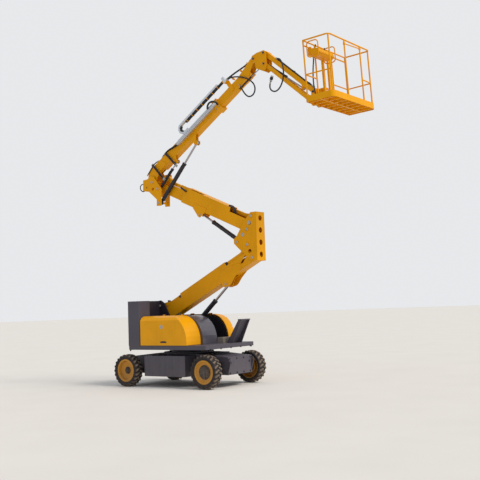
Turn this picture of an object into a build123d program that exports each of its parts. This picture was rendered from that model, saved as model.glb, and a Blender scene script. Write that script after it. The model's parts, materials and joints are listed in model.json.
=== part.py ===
from build123d import *
import math
import os

# Articulated telescopic boom lift, electric, four wheels, in millimetres.
# +X runs towards the platform end, +Z is up, and the origin lies on the ground
# under the slewing axis. Drawn as it stands, with its booms raised halfway.

# Sizes of wheels and chassis
TYRE_DIAMETER = 710.0
TYRE_WIDTH = 240.0
RIM_RADIUS = 250.0
LUG_DEPTH = 22.0
LUG_COUNT = 20
WHEELBASE = 2250.0
OVERALL_WIDTH = 1816.0
HUB_DISH = 78.0
HUB_FLANGE = 12.0
CHASSIS_HALF_WIDTH = 420.0
CHASSIS_LENGTH = 2850.0
CHASSIS_BOTTOM = 265.0
CHASSIS_TOP = 680.0
SIDE_BOX_HALF_WIDTH = 780.0
SIDE_BOX_REAR = -640.0
SIDE_BOX_FRONT = 540.0
SIDE_BOX_BOTTOM = 235.0
CHASSIS_PLATE = 12.0
END_PLATE = 16.0
LUG_HOLE_RADIUS = 21.0
LUG_PLATE = 20.0
LUG_REACH = 95.0
KINGPIN_OFFSET = 600.0
KINGPIN_RADIUS = 28.0
SPINDLE_RADIUS = 40.0
FIT = 0.3

# Sizes of the turntable
DECK_BOTTOM = 812.0
DECK_THICKNESS = 88.0
DECK_REAR = -1052.0
DECK_FRONT = 1188.0
DECK_HALF_WIDTH = 853.0
DECK_CORNER = 40.0
SLEW_RADIUS = 400.0
SLEW_GAP = 0.3
HOOD_REAR = -680.0
HOOD_FRONT = 655.0
HOOD_TOP = 1540.0
HOOD_ARC = 470.0
HOOD_SIDE_CHAMFER = 95.0
HOOD_WALL = 14.0
NEAR_HOOD_INNER = -372.0
FAR_HOOD_INNER = 622.0
HOOD_LIFT = 6.0
HINGE_RISE = 12.0
HINGE_PIN = 6.0
HINGE_PLACES = (-420.0, 120.0)
COVER_FRONT = 720.0
COVER_TOP = 1522.0
BAY_NEAR = 118.0
BAY_FAR = 600.0
WEIGHT_FRONT = -700.0
WEIGHT_INNER = -495.0
WEIGHT_TOP = 1885.0
BATTERY_LENGTH = 950.0
BATTERY_WIDTH = 330.0
BATTERY_HEIGHT = 420.0
REST_WIDTH = 330.0
REST_TOP = 1415.0

# Boom stack: its middle plane, plates, pins and pivots in the side view
BOOM_Y = 360.0
CHEEK_IN = 143.0
CHEEK_OUT = 157.0
BOOM_HALF = 130.0
BOOM_WALL = 10.0
PIN_RADIUS = 30.0
PIN_HEAD = 44.0
BOSS_RADIUS = 52.0
LEVEL_X = 115.0
LEVEL_Z = 285.0
LOWER_PIVOT = (-900.0, 1477.0)
LOWER_ANGLE = 25.91
LOWER_LENGTH = 2891.0
KNUCKLE_RISE = 620.0
MIDDLE_ANGLE = 24.39
MIDDLE_LENGTH = 2846.0
MAIN_OFFSET = (-178.0, 174.0)
MAIN_ANGLE = 33.5
FLY_PIN_REACH = 3900.0
FLY_PIN_RISE = 314.0
JIB_OFFSET = (276.0, 82.0)
JIB_LINK_DROP = 245.0
JIB_ANGLE = -41.6
JIB_LENGTH = 1650.0

# Boom sections
LOWER_BOTTOM = -85.0
LOWER_TOP = 195.0
COVER_RISE = 287.0
COVER_START = 664.0
COVER_END = 2156.0
MIDDLE_BOTTOM = -65.0
MIDDLE_TOP = 296.0
MIDDLE_TONGUE_TOP = 128.0
MIDDLE_FULL_START = 795.0
MIDDLE_FULL_END = 2224.0
LINK_LOW = 200.0
LINK_HIGH = 268.0
MAIN_BOTTOM = 80.0
MAIN_TOP = 305.0
MAIN_HALF = 100.0
LINK_NOTCH = 118.0
MAIN_END = 2600.0
FLY_CLEAR = 6.0
FLY_INNER_END = 660.0
FLY_BOX_SHORT = 240.0
SLAVE_U, SLAVE_N = 2930.0, 160.0
JIB_HALF = 60.0
YOKE_HALF = 112.0
YOKE_CROSS = 184.0
JIB_PIN = 24.0
JIB_BOSS = 44.0
JIB_EYE_U, JIB_EYE_N = 1325.0, -95.0

# Platform
PLATFORM_TILT = 2.6
PLATFORM_PIVOT_X = 150.0
PLATFORM_GAP = 125.0
PIVOT_PIN = 26.0
PLATFORM_DEPTH = 640.0
PLATFORM_WIDTH = 1720.0
PLATFORM_BELOW_PIN = 415.0
PLATFORM_HEIGHT = 1300.0
CORNER = 100.0
TOE_HEIGHT = 130.0
RAIL_RADIUS = 16.0
FLOOR_PLATE = 6.0

# Hydraulic cylinders
EYE_WIDTH = 60.0
LUG_GAP = 8.0
LUG_EAR = 16.0


def turned(origin, angle, u, n):
    """Point at u along and n above a line through origin at an angle in degrees."""
    a = math.radians(angle)
    x = origin[0] + u * math.cos(a) - n * math.sin(a)
    z = origin[1] + u * math.sin(a) + n * math.cos(a)
    return (x, z)


def mirrored(origin, angle, u, n):
    """The same for the middle boom, whose line runs down towards +X."""
    a = math.radians(angle)
    x = origin[0] + u * math.cos(a) + n * math.sin(a)
    z = origin[1] - u * math.sin(a) + n * math.cos(a)
    return (x, z)


# Pin places, worked out from the pivots above
LOWER_LINK_PIVOT = (LOWER_PIVOT[0] - LEVEL_X, LOWER_PIVOT[1] + LEVEL_Z)
KNUCKLE_LOWER = turned(LOWER_PIVOT, LOWER_ANGLE, LOWER_LENGTH, 0)
KNUCKLE_LOWER_LINK = (KNUCKLE_LOWER[0] - LEVEL_X, KNUCKLE_LOWER[1] + LEVEL_Z)
KNUCKLE_MIDDLE = (KNUCKLE_LOWER[0] - LEVEL_X, KNUCKLE_LOWER[1] + KNUCKLE_RISE)
KNUCKLE_MIDDLE_LINK = (KNUCKLE_MIDDLE[0] + LEVEL_X, KNUCKLE_MIDDLE[1] + LEVEL_Z)
KNUCKLE_CYLINDER = (KNUCKLE_LOWER[0] - 398.0, KNUCKLE_LOWER[1] + 360.0)
UPPER_PIVOT = mirrored(KNUCKLE_MIDDLE, MIDDLE_ANGLE, -MIDDLE_LENGTH, 0)
UPPER_LINK_PIVOT = (UPPER_PIVOT[0] + LEVEL_X, UPPER_PIVOT[1] + LEVEL_Z)
UPPER_CYLINDER = (UPPER_PIVOT[0] + 22.0, UPPER_PIVOT[1] - 340.0)
MAIN_PIVOT = (UPPER_PIVOT[0] + MAIN_OFFSET[0], UPPER_PIVOT[1] + MAIN_OFFSET[1])
YOKE_PIVOT = turned(MAIN_PIVOT, MAIN_ANGLE, FLY_PIN_REACH, FLY_PIN_RISE)
YOKE_CYLINDER = (YOKE_PIVOT[0] + 113.0, YOKE_PIVOT[1] - 208.0)
JIB_UPPER = (YOKE_PIVOT[0] + JIB_OFFSET[0], YOKE_PIVOT[1] + JIB_OFFSET[1])
JIB_LOWER = (JIB_UPPER[0], JIB_UPPER[1] - JIB_LINK_DROP)
MOUNT_UPPER = turned(JIB_UPPER, JIB_ANGLE, JIB_LENGTH, 0)
MOUNT_LOWER = (MOUNT_UPPER[0], MOUNT_UPPER[1] - JIB_LINK_DROP)

# Cylinder eyes
LOWER_BASE = (-450.0, 990.0)
LOWER_EYE = turned(LOWER_PIVOT, LOWER_ANGLE, 1958.0, -158.0)
MIDDLE_EYE = mirrored(UPPER_PIVOT, MIDDLE_ANGLE, 1448.0, -150.0)
MAIN_EYE = turned(MAIN_PIVOT, MAIN_ANGLE, 1560.0, -100.0)
MASTER_EYE = turned(MAIN_PIVOT, MAIN_ANGLE, 846.0, -60.0)
SLAVE_BASE = turned(MAIN_PIVOT, MAIN_ANGLE, SLAVE_U, SLAVE_N)
JIB_EYE = turned(JIB_UPPER, JIB_ANGLE, JIB_EYE_U, JIB_EYE_N)
LIFT_Y = BOOM_Y - 62.0

os.makedirs("parts", exist_ok=True)


# Shape helpers
def plate(outline, y_from, y_to):
    """Flat plate: an outline of (x, z) points, thick from one y to another."""
    face = make_face(Polyline(*[(x, 0, z) for x, z in outline], close=True))
    return Pos(0, y_from, 0) * extrude(face, y_to - y_from, dir=(0, 1, 0))


def drum(place, radius, y_from, y_to):
    """Cylinder along Y at an (x, z) place."""
    middle = (y_from + y_to) / 2
    return Pos(place[0], middle, place[1]) * Rot(90, 0, 0) * Cylinder(radius, y_to - y_from)


def block(x_from, x_to, y_from, y_to, z_from, z_to):
    """Plain block between two corners."""
    size = Box(x_to - x_from, y_to - y_from, z_to - z_from)
    return Pos((x_from + x_to) / 2, (y_from + y_to) / 2, (z_from + z_to) / 2) * size


def rod(start, end, radius):
    """Round bar between two (x, y, z) points."""
    a = Vector(*start)
    b = Vector(*end)
    along = Plane(origin=a, z_dir=(b - a).normalized())
    return along * extrude(Circle(radius), (b - a).length)


def slab(start, end, low, high, y_from, y_to):
    """Bar in the side view between two places, from low to high beside its line."""
    length = math.dist(start, end)
    angle = math.degrees(math.atan2(end[1] - start[1], end[0] - start[0]))
    corners = [(0, low), (length, low), (length, high), (0, high)]
    return plate([turned(start, angle, u, n) for u, n in corners], y_from, y_to)


def about_boom(half):
    """The two y values that lie half a width each side of the boom plane."""
    return BOOM_Y - half, BOOM_Y + half


def pin(place, radius=PIN_RADIUS, half=CHEEK_OUT, head=PIN_HEAD):
    """Pin through both cheeks with a round head outside each."""
    y_near, y_far = about_boom(half)
    shaft = drum(place, radius, y_near - 8, y_far + 8)
    heads = drum(place, head, y_near - 12, y_near) + drum(place, head, y_far, y_far + 12)
    return shaft + heads


def bored(shape, place, radius=PIN_RADIUS + FIT):
    """Shape with a bore for a pin along Y."""
    return shape - drum(place, radius, BOOM_Y - 400, BOOM_Y + 400)


def box_section(origin, place, sections, half, wall):
    """Hollow boom: loops of (u, n) points for its skin and its inside, open at both ends."""
    outer, inner = sections
    y_near, y_far = about_boom(half)
    skin = plate([place(origin, u, n) for u, n in outer], y_near, y_far)
    inside = plate([place(origin, u, n) for u, n in inner], y_near + wall, y_far - wall)
    return skin - inside


def cylinder_pair(base, eye, y, barrel_radius, rod_radius, barrel_length, inside, base_bore):
    """Hydraulic cylinder in the side view: barrel with a base eye, rod with an end eye."""
    length = math.dist(base, eye)
    ux = (eye[0] - base[0]) / length
    uz = (eye[1] - base[1]) / length

    def at(s):
        return (base[0] + ux * s, y, base[1] + uz * s)

    half_eye = EYE_WIDTH / 2 if barrel_radius > 40 else EYE_WIDTH / 3
    eye_radius = min(base_bore + 18, barrel_radius + 4)
    neck = eye_radius + 34
    barrel = rod(at(neck), at(barrel_length), barrel_radius)
    barrel += rod(at(eye_radius * 0.7), at(neck + 1), half_eye - 4)
    barrel += drum(base, eye_radius, y - half_eye, y + half_eye)
    barrel += rod(at(barrel_length - 38), at(barrel_length), barrel_radius + 5)
    barrel -= rod(at(neck + 12), at(barrel_length + 1), rod_radius + FIT)
    barrel -= drum(base, base_bore + FIT, y - 200, y + 200)
    stem = rod(at(barrel_length - inside), at(length - 20), rod_radius)
    end = drum(eye, 40.0 if barrel_radius > 40 else 30.0, y - half_eye, y + half_eye)
    return barrel, stem + end


def ears(place, anchor, y, radius, gap, thick, bore):
    """Two lug plates beside an eye, each running from a round end to its anchor edge."""
    parts = []
    for side in (-1, 1):
        inner = y + side * gap
        outer = inner + side * thick
        y_low, y_high = min(inner, outer), max(inner, outer)
        web = plate([place, anchor[0], anchor[1]], y_low, y_high)
        shape = web + drum(place, radius, y_low, y_high)
        parts.append(shape)
        parts.append(drum(place, bore, y_low, y_high))
        parts.append(drum(place, bore + 10, min(outer, outer + side * 8), max(outer, outer + side * 8)))
    result = parts[0]
    for part in parts[1:]:
        result += part
    return result


def lower_at(origin, u, n):
    return turned(origin, LOWER_ANGLE, u, n)


def middle_at(origin, u, n):
    return mirrored(origin, MIDDLE_ANGLE, u, n)


def main_at(origin, u, n):
    return turned(origin, MAIN_ANGLE, u, n)


# Wheels
WHEEL_X = WHEELBASE / 2
WHEEL_Y = OVERALL_WIDTH / 2 - TYRE_WIDTH / 2
WHEEL_Z = TYRE_DIAMETER / 2
WHEELS = [
    # name, x, side, driven
    ("steer_right", -WHEEL_X, -1, False),
    ("steer_left", -WHEEL_X, 1, False),
    ("drive_right", WHEEL_X, -1, True),
    ("drive_left", WHEEL_X, 1, True),
]


def tyre():
    """Solid-bodied lift tyre about the Y axis, with chevron half lugs from each shoulder."""
    carcass = TYRE_DIAMETER / 2 - LUG_DEPTH
    half = TYRE_WIDTH / 2
    profile = [
        (RIM_RADIUS, half - 26), (RIM_RADIUS + 30, half - 6), (carcass - 44, half), (carcass, half - 34),
        (carcass, -half + 34), (carcass - 44, -half), (RIM_RADIUS + 30, -half + 6), (RIM_RADIUS, -half + 26),
    ]
    face = make_face(Polyline(*[(r, y, 0) for r, y in profile], close=True))
    body = revolve(face, Axis.Y)
    pitch = 360 / LUG_COUNT
    lug_length = half + 8
    depth = LUG_DEPTH + 26
    limit = Rot(90, 0, 0) * Cylinder(TYRE_DIAMETER / 2, TYRE_WIDTH)
    lugs = []
    for side in (-1, 1):
        reach = Pos(carcass + LUG_DEPTH + 4 - depth / 2, side * (half - lug_length / 2 - 4), 0)
        bar = (reach * Rot(side * 26, 0, 0) * Box(depth, lug_length, 46)) & limit
        for step in range(LUG_COUNT):
            turn = (step + (0.5 if side > 0 else 0.0)) * pitch
            lugs.append(Rot(0, turn, 0) * bar)
    return body.fuse(*lugs)


def rim(driven):
    """Dished wheel about Y with the outside towards -Y."""
    half = TYRE_WIDTH / 2 - 26
    outer = RIM_RADIUS - FIT
    face_y = -half + HUB_DISH if not driven else -half + 40
    hub_radius = 145 if driven else 62
    points = [
        (outer, -half), (outer - 34, -half - 6), (outer - 40, -half + 8), (outer - 52, face_y - 14),
        (hub_radius + 24, face_y), (hub_radius, face_y), (hub_radius, face_y + HUB_FLANGE),
        (hub_radius + 30, face_y + HUB_FLANGE), (outer - 30, face_y + HUB_FLANGE + 8), (outer - 14, half), (outer, half),
    ]
    face = make_face(Polyline(*[(r, y, 0) for r, y in points], close=True))
    disc = revolve(face, Axis.Y)
    if driven:
        hub_points = [(0, face_y - 18), (118, face_y - 18), (132, face_y - 4), (hub_radius, face_y), (hub_radius, face_y + HUB_FLANGE), (hub_radius, half - 40), (0, half - 40)]
    else:
        hub_points = [(0, face_y - 34), (34, face_y - 34), (44, face_y - 20), (hub_radius, face_y - 8), (hub_radius, face_y + HUB_FLANGE), (72, face_y + 40), (0, face_y + 40)]
    hub_face = make_face(Polyline(*[(r, y, 0) for r, y in hub_points], close=True))
    hub = revolve(hub_face, Axis.Y)
    studs = 10 if driven else 6
    ring = 122 if driven else 50
    for step in range(studs):
        angle = 2 * math.pi * step / studs
        top = face_y - 18 if driven else face_y - 12
        hub += Pos(ring * math.cos(angle), top, ring * math.sin(angle)) * Rot(90, 0, 0) * Cylinder(8, 16)
    return disc + hub


NODES = {}
base_tyre = tyre()
for name, x, side, driven in WHEELS:
    turn = Rot(0, 0, 0) if side < 0 else Rot(0, 0, 180)
    NODES[f"tyre_{name}"] = Pos(x, side * WHEEL_Y, WHEEL_Z) * turn * base_tyre
    NODES[f"rim_{name}"] = Pos(x, side * WHEEL_Y, WHEEL_Z) * turn * rim(driven)


# Chassis
def chassis():
    """Welded box with side boxes between the wheels, sloping top plates and tie-down lugs."""
    half_length = CHASSIS_LENGTH / 2
    side_view = [
        (-half_length, CHASSIS_BOTTOM), (half_length, CHASSIS_BOTTOM), (half_length, CHASSIS_TOP - 45),
        (SIDE_BOX_FRONT, CHASSIS_TOP + 30), (SIDE_BOX_REAR, CHASSIS_TOP + 30), (-half_length, CHASSIS_TOP - 45),
    ]
    beam = plate(side_view, -CHASSIS_HALF_WIDTH, CHASSIS_HALF_WIDTH)
    inner_view = [
        (-half_length + END_PLATE, CHASSIS_BOTTOM + CHASSIS_PLATE), (half_length - END_PLATE, CHASSIS_BOTTOM + CHASSIS_PLATE),
        (half_length - END_PLATE, CHASSIS_TOP - 45 - CHASSIS_PLATE), (SIDE_BOX_FRONT, CHASSIS_TOP + 30 - CHASSIS_PLATE),
        (SIDE_BOX_REAR, CHASSIS_TOP + 30 - CHASSIS_PLATE), (-half_length + END_PLATE, CHASSIS_TOP - 45 - CHASSIS_PLATE),
    ]
    body = beam - plate(inner_view, -CHASSIS_HALF_WIDTH + CHASSIS_PLATE, CHASSIS_HALF_WIDTH - CHASSIS_PLATE)
    for side in (-1, 1):
        shell_outer = block(SIDE_BOX_REAR, SIDE_BOX_FRONT, CHASSIS_HALF_WIDTH - 5, SIDE_BOX_HALF_WIDTH, SIDE_BOX_BOTTOM, CHASSIS_TOP)
        shell_inner = block(SIDE_BOX_REAR + CHASSIS_PLATE, SIDE_BOX_FRONT - CHASSIS_PLATE, CHASSIS_HALF_WIDTH - 6,
                            SIDE_BOX_HALF_WIDTH - CHASSIS_PLATE, SIDE_BOX_BOTTOM + CHASSIS_PLATE, CHASSIS_TOP - CHASSIS_PLATE)
        shell = shell_outer - shell_inner
        body += shell if side > 0 else mirror(shell, Plane.XZ)
    body -= block(-WHEEL_X - 75 - FIT, -WHEEL_X + 75 + FIT, -600, 600, WHEEL_Z - 75 - FIT, WHEEL_Z + 75 + FIT)
    body -= block(-WHEEL_X - 190, -WHEEL_X - 74, -600, 600, WHEEL_Z - 45, WHEEL_Z + 45)
    turret = Pos(0, 0, (CHASSIS_TOP + DECK_BOTTOM) / 2 - 20) * Cylinder(SLEW_RADIUS + 160, 24)
    neck = Pos(0, 0, (CHASSIS_TOP + 20 + DECK_BOTTOM - 40) / 2) * Cylinder(SLEW_RADIUS - 20, DECK_BOTTOM - 40 - CHASSIS_TOP - 20)
    body += turret
    body += neck
    for end in (-1, 1):
        for side in (-1, 1):
            x_plate = end * half_length
            lug = plate([(x_plate - end * 60, CHASSIS_TOP - 75), (x_plate + end * LUG_REACH * 0.35, CHASSIS_TOP - 75),
                         (x_plate + end * LUG_REACH * 0.72, CHASSIS_TOP - 120), (x_plate + end * LUG_REACH * 0.62, CHASSIS_TOP - 165),
                         (x_plate, CHASSIS_BOTTOM + 60), (x_plate - end * 60, CHASSIS_BOTTOM + 60)],
                        CHASSIS_HALF_WIDTH - LUG_PLATE - 1, CHASSIS_HALF_WIDTH - 1)
            lug -= drum((x_plate + end * LUG_REACH * 0.33, CHASSIS_TOP - 118), LUG_HOLE_RADIUS, 0, 600)
            body += lug if side > 0 else mirror(lug, Plane.XZ)
    return body


# The steering knuckles hang on kingpins at the ends of the steer axle
def steer_axle():
    """Beam with forked ends, kingpins and the steering cylinder with its tie rod ends."""
    body = block(-WHEEL_X - 75, -WHEEL_X + 75, -KINGPIN_OFFSET + 75, KINGPIN_OFFSET - 75, WHEEL_Z - 75, WHEEL_Z + 75)
    for side in (-1, 1):
        y_in = side * (KINGPIN_OFFSET - 76)
        y_out = side * (KINGPIN_OFFSET + 42)
        for z_from in (WHEEL_Z - 100, WHEEL_Z + 72):
            body += block(-WHEEL_X - 60, -WHEEL_X + 60, min(y_in, y_out), max(y_in, y_out), z_from, z_from + 28)
        body += Pos(-WHEEL_X, side * KINGPIN_OFFSET, WHEEL_Z) * Cylinder(KINGPIN_RADIUS, 212)
    body += rod((-WHEEL_X - 130, -330, WHEEL_Z), (-WHEEL_X - 130, 330, WHEEL_Z), 30)
    body += rod((-WHEEL_X - 130, -430, WHEEL_Z), (-WHEEL_X - 130, 430, WHEEL_Z), 14)
    for y in (-300, 300):
        body += block(-WHEEL_X - 150, -WHEEL_X - 70, y - 12, y + 12, WHEEL_Z - 40, WHEEL_Z + 40)
    return body


def knuckle(side):
    """Steering knuckle: a sleeve on the kingpin, a stub axle and a short steering arm."""
    low, high = WHEEL_Z - 71, WHEEL_Z + 71
    sleeve = Pos(-WHEEL_X, side * KINGPIN_OFFSET, WHEEL_Z) * Cylinder(KINGPIN_RADIUS + 20, high - low)
    stub_end = side * (WHEEL_Y - 18)
    stub = rod((-WHEEL_X, side * (KINGPIN_OFFSET + 20), WHEEL_Z), (-WHEEL_X, stub_end, WHEEL_Z), SPINDLE_RADIUS)
    arm = block(-WHEEL_X - 110, -WHEEL_X - 20, side * KINGPIN_OFFSET - 16, side * KINGPIN_OFFSET + 16, WHEEL_Z - 16, WHEEL_Z + 16)
    body = sleeve + stub + arm
    return body - Pos(-WHEEL_X, side * KINGPIN_OFFSET, WHEEL_Z) * Cylinder(KINGPIN_RADIUS + FIT, 400)


def drive_unit(side):
    """Wheel motor and reduction gear housing outside the chassis box."""
    inner = side * CHASSIS_HALF_WIDTH
    collar = side * (WHEEL_Y - TYRE_WIDTH / 2 + 30)
    spindle = side * (WHEEL_Y - 46)
    motor = side * (CHASSIS_HALF_WIDTH + 30)
    body = drum((WHEEL_X, WHEEL_Z), 138, min(inner, collar), max(inner, collar))
    body += drum((WHEEL_X, WHEEL_Z), 70, min(collar, spindle), max(collar, spindle))
    return body + block(WHEEL_X - 150, WHEEL_X + 150, min(inner, motor), max(inner, motor), WHEEL_Z - 88, WHEEL_Z + 170)


def seat_wheels():
    """Bores in the rims for the stub axles and the gear housings."""
    for name, x, side, driven in WHEELS:
        radius = (70 if driven else SPINDLE_RADIUS) + FIT
        depth_in = side * (WHEEL_Y + TYRE_WIDTH)
        reach = side * (WHEEL_Y - 46 + 0.5) if driven else side * (WHEEL_Y - 18 + 0.5)
        inner = side * (WHEEL_Y - TYRE_WIDTH)
        NODES[f"rim_{name}"] -= drum((x, WHEEL_Z), radius, min(inner, reach), max(inner, reach))


seat_wheels()
NODES["chassis_frame"] = chassis()
NODES["steer_axle"] = steer_axle()
NODES["steer_knuckle_right"] = knuckle(-1)
NODES["steer_knuckle_left"] = knuckle(1)
NODES["drive_unit_right"] = drive_unit(-1)
NODES["drive_unit_left"] = drive_unit(1)


# Turntable
DECK_TOP = DECK_BOTTOM + DECK_THICKNESS


def deck():
    """Turntable deck with its slewing ring below and the front tray edge."""
    body = block(DECK_REAR, DECK_FRONT, -DECK_HALF_WIDTH, DECK_HALF_WIDTH, DECK_BOTTOM, DECK_TOP)
    body = fillet(body.edges().filter_by(Axis.Z), DECK_CORNER)
    for x_from, x_to in ((DECK_REAR + 14, -500), (-480, 480), (500, DECK_FRONT - 14)):
        for y_from, y_to in ((-DECK_HALF_WIDTH + 14, -8), (8, DECK_HALF_WIDTH - 14)):
            pan = block(x_from, x_to, y_from, y_to, DECK_BOTTOM - 1, DECK_TOP - 14)
            body -= fillet(pan.edges().filter_by(Axis.Z), DECK_CORNER - 14)
    body += Pos(0, 0, (DECK_BOTTOM + DECK_TOP) / 2 - 5) * Cylinder(SLEW_RADIUS + 30, DECK_THICKNESS - 10)
    body += Pos(0, 0, (DECK_BOTTOM + DECK_BOTTOM - 40 + SLEW_GAP) / 2 + 1) * Cylinder(SLEW_RADIUS, 42 - SLEW_GAP)
    return body


def counterweight():
    """Tall ballast block at the rear right corner."""
    body = block(DECK_REAR, WEIGHT_FRONT, -DECK_HALF_WIDTH, WEIGHT_INNER, DECK_TOP, WEIGHT_TOP)
    return chamfer(body.edges().filter_by(Axis.Z), 12)


def arc_outline(front, top, inset, floor):
    """Side view under a hood: flat top, then a quarter ellipse down to the front."""
    left = HOOD_REAR + inset
    right = front - inset
    high = top - inset
    start = right - HOOD_ARC + inset
    low = DECK_TOP + 80
    points = [(left, floor), (left, high), (start, high)]
    steps = 8
    for step in range(1, steps + 1):
        angle = math.pi / 2 * (1 - step / steps)
        points.append((start + (right - start) * math.cos(angle), low + (high - low) * math.sin(angle)))
    points.append((right, floor))
    return points


def hood_block(y_outer, y_inner, inset, floor):
    """Solid block under a hood's skin, with its outer top edge cut back."""
    sign = 1 if y_outer > y_inner else -1
    outer = y_outer - sign * inset
    high = HOOD_TOP - inset
    body = plate(arc_outline(HOOD_FRONT, HOOD_TOP, inset, floor), min(outer, y_inner), max(outer, y_inner))
    side_view = [
        (outer, floor), (outer, high - HOOD_SIDE_CHAMFER), (outer - sign * HOOD_SIDE_CHAMFER * 0.45, high - HOOD_SIDE_CHAMFER * 0.35),
        (outer - sign * HOOD_SIDE_CHAMFER * 1.2, high), (y_inner, high), (y_inner, floor),
    ]
    face = make_face(Polyline(*[(0, y, z) for y, z in side_view], close=True))
    section = Pos(HOOD_REAR - 1, 0, 0) * extrude(face, HOOD_FRONT - HOOD_REAR + 2, dir=(1, 0, 0))
    return body & section


def hood(y_outer, y_inner):
    """Hinged cover: side, top, front and rear walls, open below and towards the middle."""
    floor = DECK_TOP + HOOD_LIFT
    outer = hood_block(y_outer, y_inner, 0, floor)
    sign = 1 if y_outer > y_inner else -1
    inner = hood_block(y_outer, y_inner - sign, HOOD_WALL, floor - 1)
    body = outer - inner
    y = y_inner - sign * 3
    z = HOOD_TOP + HINGE_RISE
    for x in HINGE_PLACES:
        body += rod((x, y, z), (x + 60, y, z), HINGE_PIN + 5)
        body += block(x, x + 60, min(y, y + sign * 16), max(y, y + sign * 16), HOOD_TOP - 2, z)
        body -= rod((x - 1, y, z), (x + 61, y, z), HINGE_PIN + FIT)
    return body


def hinge_stays(y_inner, sign, low):
    """Stays with pins that carry a hood's hinge sleeves, on the cover or wall beside it."""
    y = y_inner - sign * 3
    z = HOOD_TOP + HINGE_RISE
    body = None
    for x in HINGE_PLACES:
        part = rod((x - 20, y, z), (x + 80, y, z), HINGE_PIN)
        for edge in (x - 20, x + 60 + FIT):
            part += rod((edge, y, z), (edge + 20 - FIT, y, z), HINGE_PIN + 4)
            part += block(edge, edge + 20 - FIT, min(y_inner - sign * 20, y_inner - sign * 8), max(y_inner - sign * 20, y_inner - sign * 8), low, z + 6)
            part += block(edge, edge + 20 - FIT, min(y, y_inner - sign * 10), max(y, y_inner - sign * 10), z - 6, z + 6)
        body = part if body is None else body + part
    return body


def centre_cover():
    """Fixed grey cover between the near hood and the boom bay, hollow and open below."""
    y_near = NEAR_HOOD_INNER + 6
    outer = plate(arc_outline(COVER_FRONT, COVER_TOP, 0, DECK_TOP), y_near, BAY_NEAR)
    inner = plate(arc_outline(COVER_FRONT, COVER_TOP, HOOD_WALL, DECK_TOP - 1), y_near + HOOD_WALL, BAY_NEAR - HOOD_WALL)
    return outer - inner + hinge_stays(NEAR_HOOD_INNER, -1, COVER_TOP - 4)


def bay_wall():
    """Black lining between the boom bay and the far hood."""
    wall = plate(arc_outline(HOOD_FRONT, HOOD_TOP - 20, 20, DECK_TOP), BAY_FAR, BAY_FAR + 14)
    return wall + hinge_stays(FAR_HOOD_INNER, 1, HOOD_TOP - 60)


def bay_box():
    """Low light-grey box at the front of the boom bay."""
    return block(COVER_FRONT + 2, COVER_FRONT + 170, BAY_NEAR + 4, BAY_FAR - 4, DECK_TOP, DECK_TOP + 125)


def tower():
    """Two cheeks that carry the boom foot, tied by low plates, with a rear plate beside them."""
    outline = [
        (DECK_REAR + 4, DECK_TOP), (DECK_REAR + 4, 1888), (-990, 1888), (-880, 1822), (-755, 1568), (-600, 1180), (-600, DECK_TOP),
    ]
    near = BOOM_Y - CHEEK_OUT - 8
    far = BOOM_Y + CHEEK_OUT + 8
    body = plate(outline, near, near + 22) + plate(outline, far - 22, far)
    body += block(DECK_REAR + 4, DECK_REAR + 20, WEIGHT_INNER + 2, near + 5, DECK_TOP, 1880)
    body += block(DECK_REAR + 4, DECK_REAR + 20, near + 5, far - 5, DECK_TOP, 1240)
    body += block(DECK_REAR + 4, LOWER_BASE[0] + 140, near + 5, far - 5, DECK_TOP, DECK_TOP + 14)
    for place in (LOWER_PIVOT, LOWER_LINK_PIVOT):
        body += pin(place, half=CHEEK_OUT + 8)
    base_ears = [(LOWER_BASE[0] - 130, DECK_TOP + 4), (LOWER_BASE[0] + 130, DECK_TOP + 4)]
    body += ears(LOWER_BASE, base_ears, BOOM_Y, 58, EYE_WIDTH / 2 + LUG_GAP, LUG_EAR, 26)
    body += drum(LOWER_BASE, 26, BOOM_Y - EYE_WIDTH / 2 - LUG_GAP - 1, BOOM_Y + EYE_WIDTH / 2 + LUG_GAP + 1)
    return body


def boom_rest():
    """Leaning plate with a padded top flange, where the stowed boom lies."""
    foot_x, top_x = 930.0, 1255.0
    y_near = BOOM_Y - REST_WIDTH / 2
    y_far = BOOM_Y + REST_WIDTH / 2
    leaning = plate([(foot_x, DECK_TOP), (foot_x + 40, DECK_TOP), (top_x + 34, REST_TOP - 25), (top_x, REST_TOP - 25)], y_near, y_far)
    flange = block(top_x - 5, top_x + 90, y_near, y_far, REST_TOP - 25, REST_TOP)
    body = leaning + flange
    for y in (y_near, y_far - 14):
        body += plate([(foot_x + 30, DECK_TOP), (foot_x + 165, DECK_TOP), (top_x + 80, REST_TOP - 25), (top_x + 20, REST_TOP - 25)], y, y + 14)
    return body


def battery():
    """Traction battery block behind the near hood."""
    y_near = -DECK_HALF_WIDTH + HOOD_WALL + 40
    return block(-560, -560 + BATTERY_LENGTH, y_near, y_near + BATTERY_WIDTH, DECK_TOP, DECK_TOP + BATTERY_HEIGHT)


NODES["turntable_deck"] = deck()
NODES["counterweight"] = counterweight()
NODES["hood_right"] = hood(-DECK_HALF_WIDTH + 3, NEAR_HOOD_INNER)
NODES["hood_left"] = hood(DECK_HALF_WIDTH - 3, FAR_HOOD_INNER)
NODES["centre_cover"] = centre_cover()
NODES["bay_wall"] = bay_wall()
NODES["bay_box"] = bay_box()
NODES["boom_tower"] = tower()
NODES["boom_rest"] = boom_rest()
NODES["battery_block"] = battery()


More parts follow.
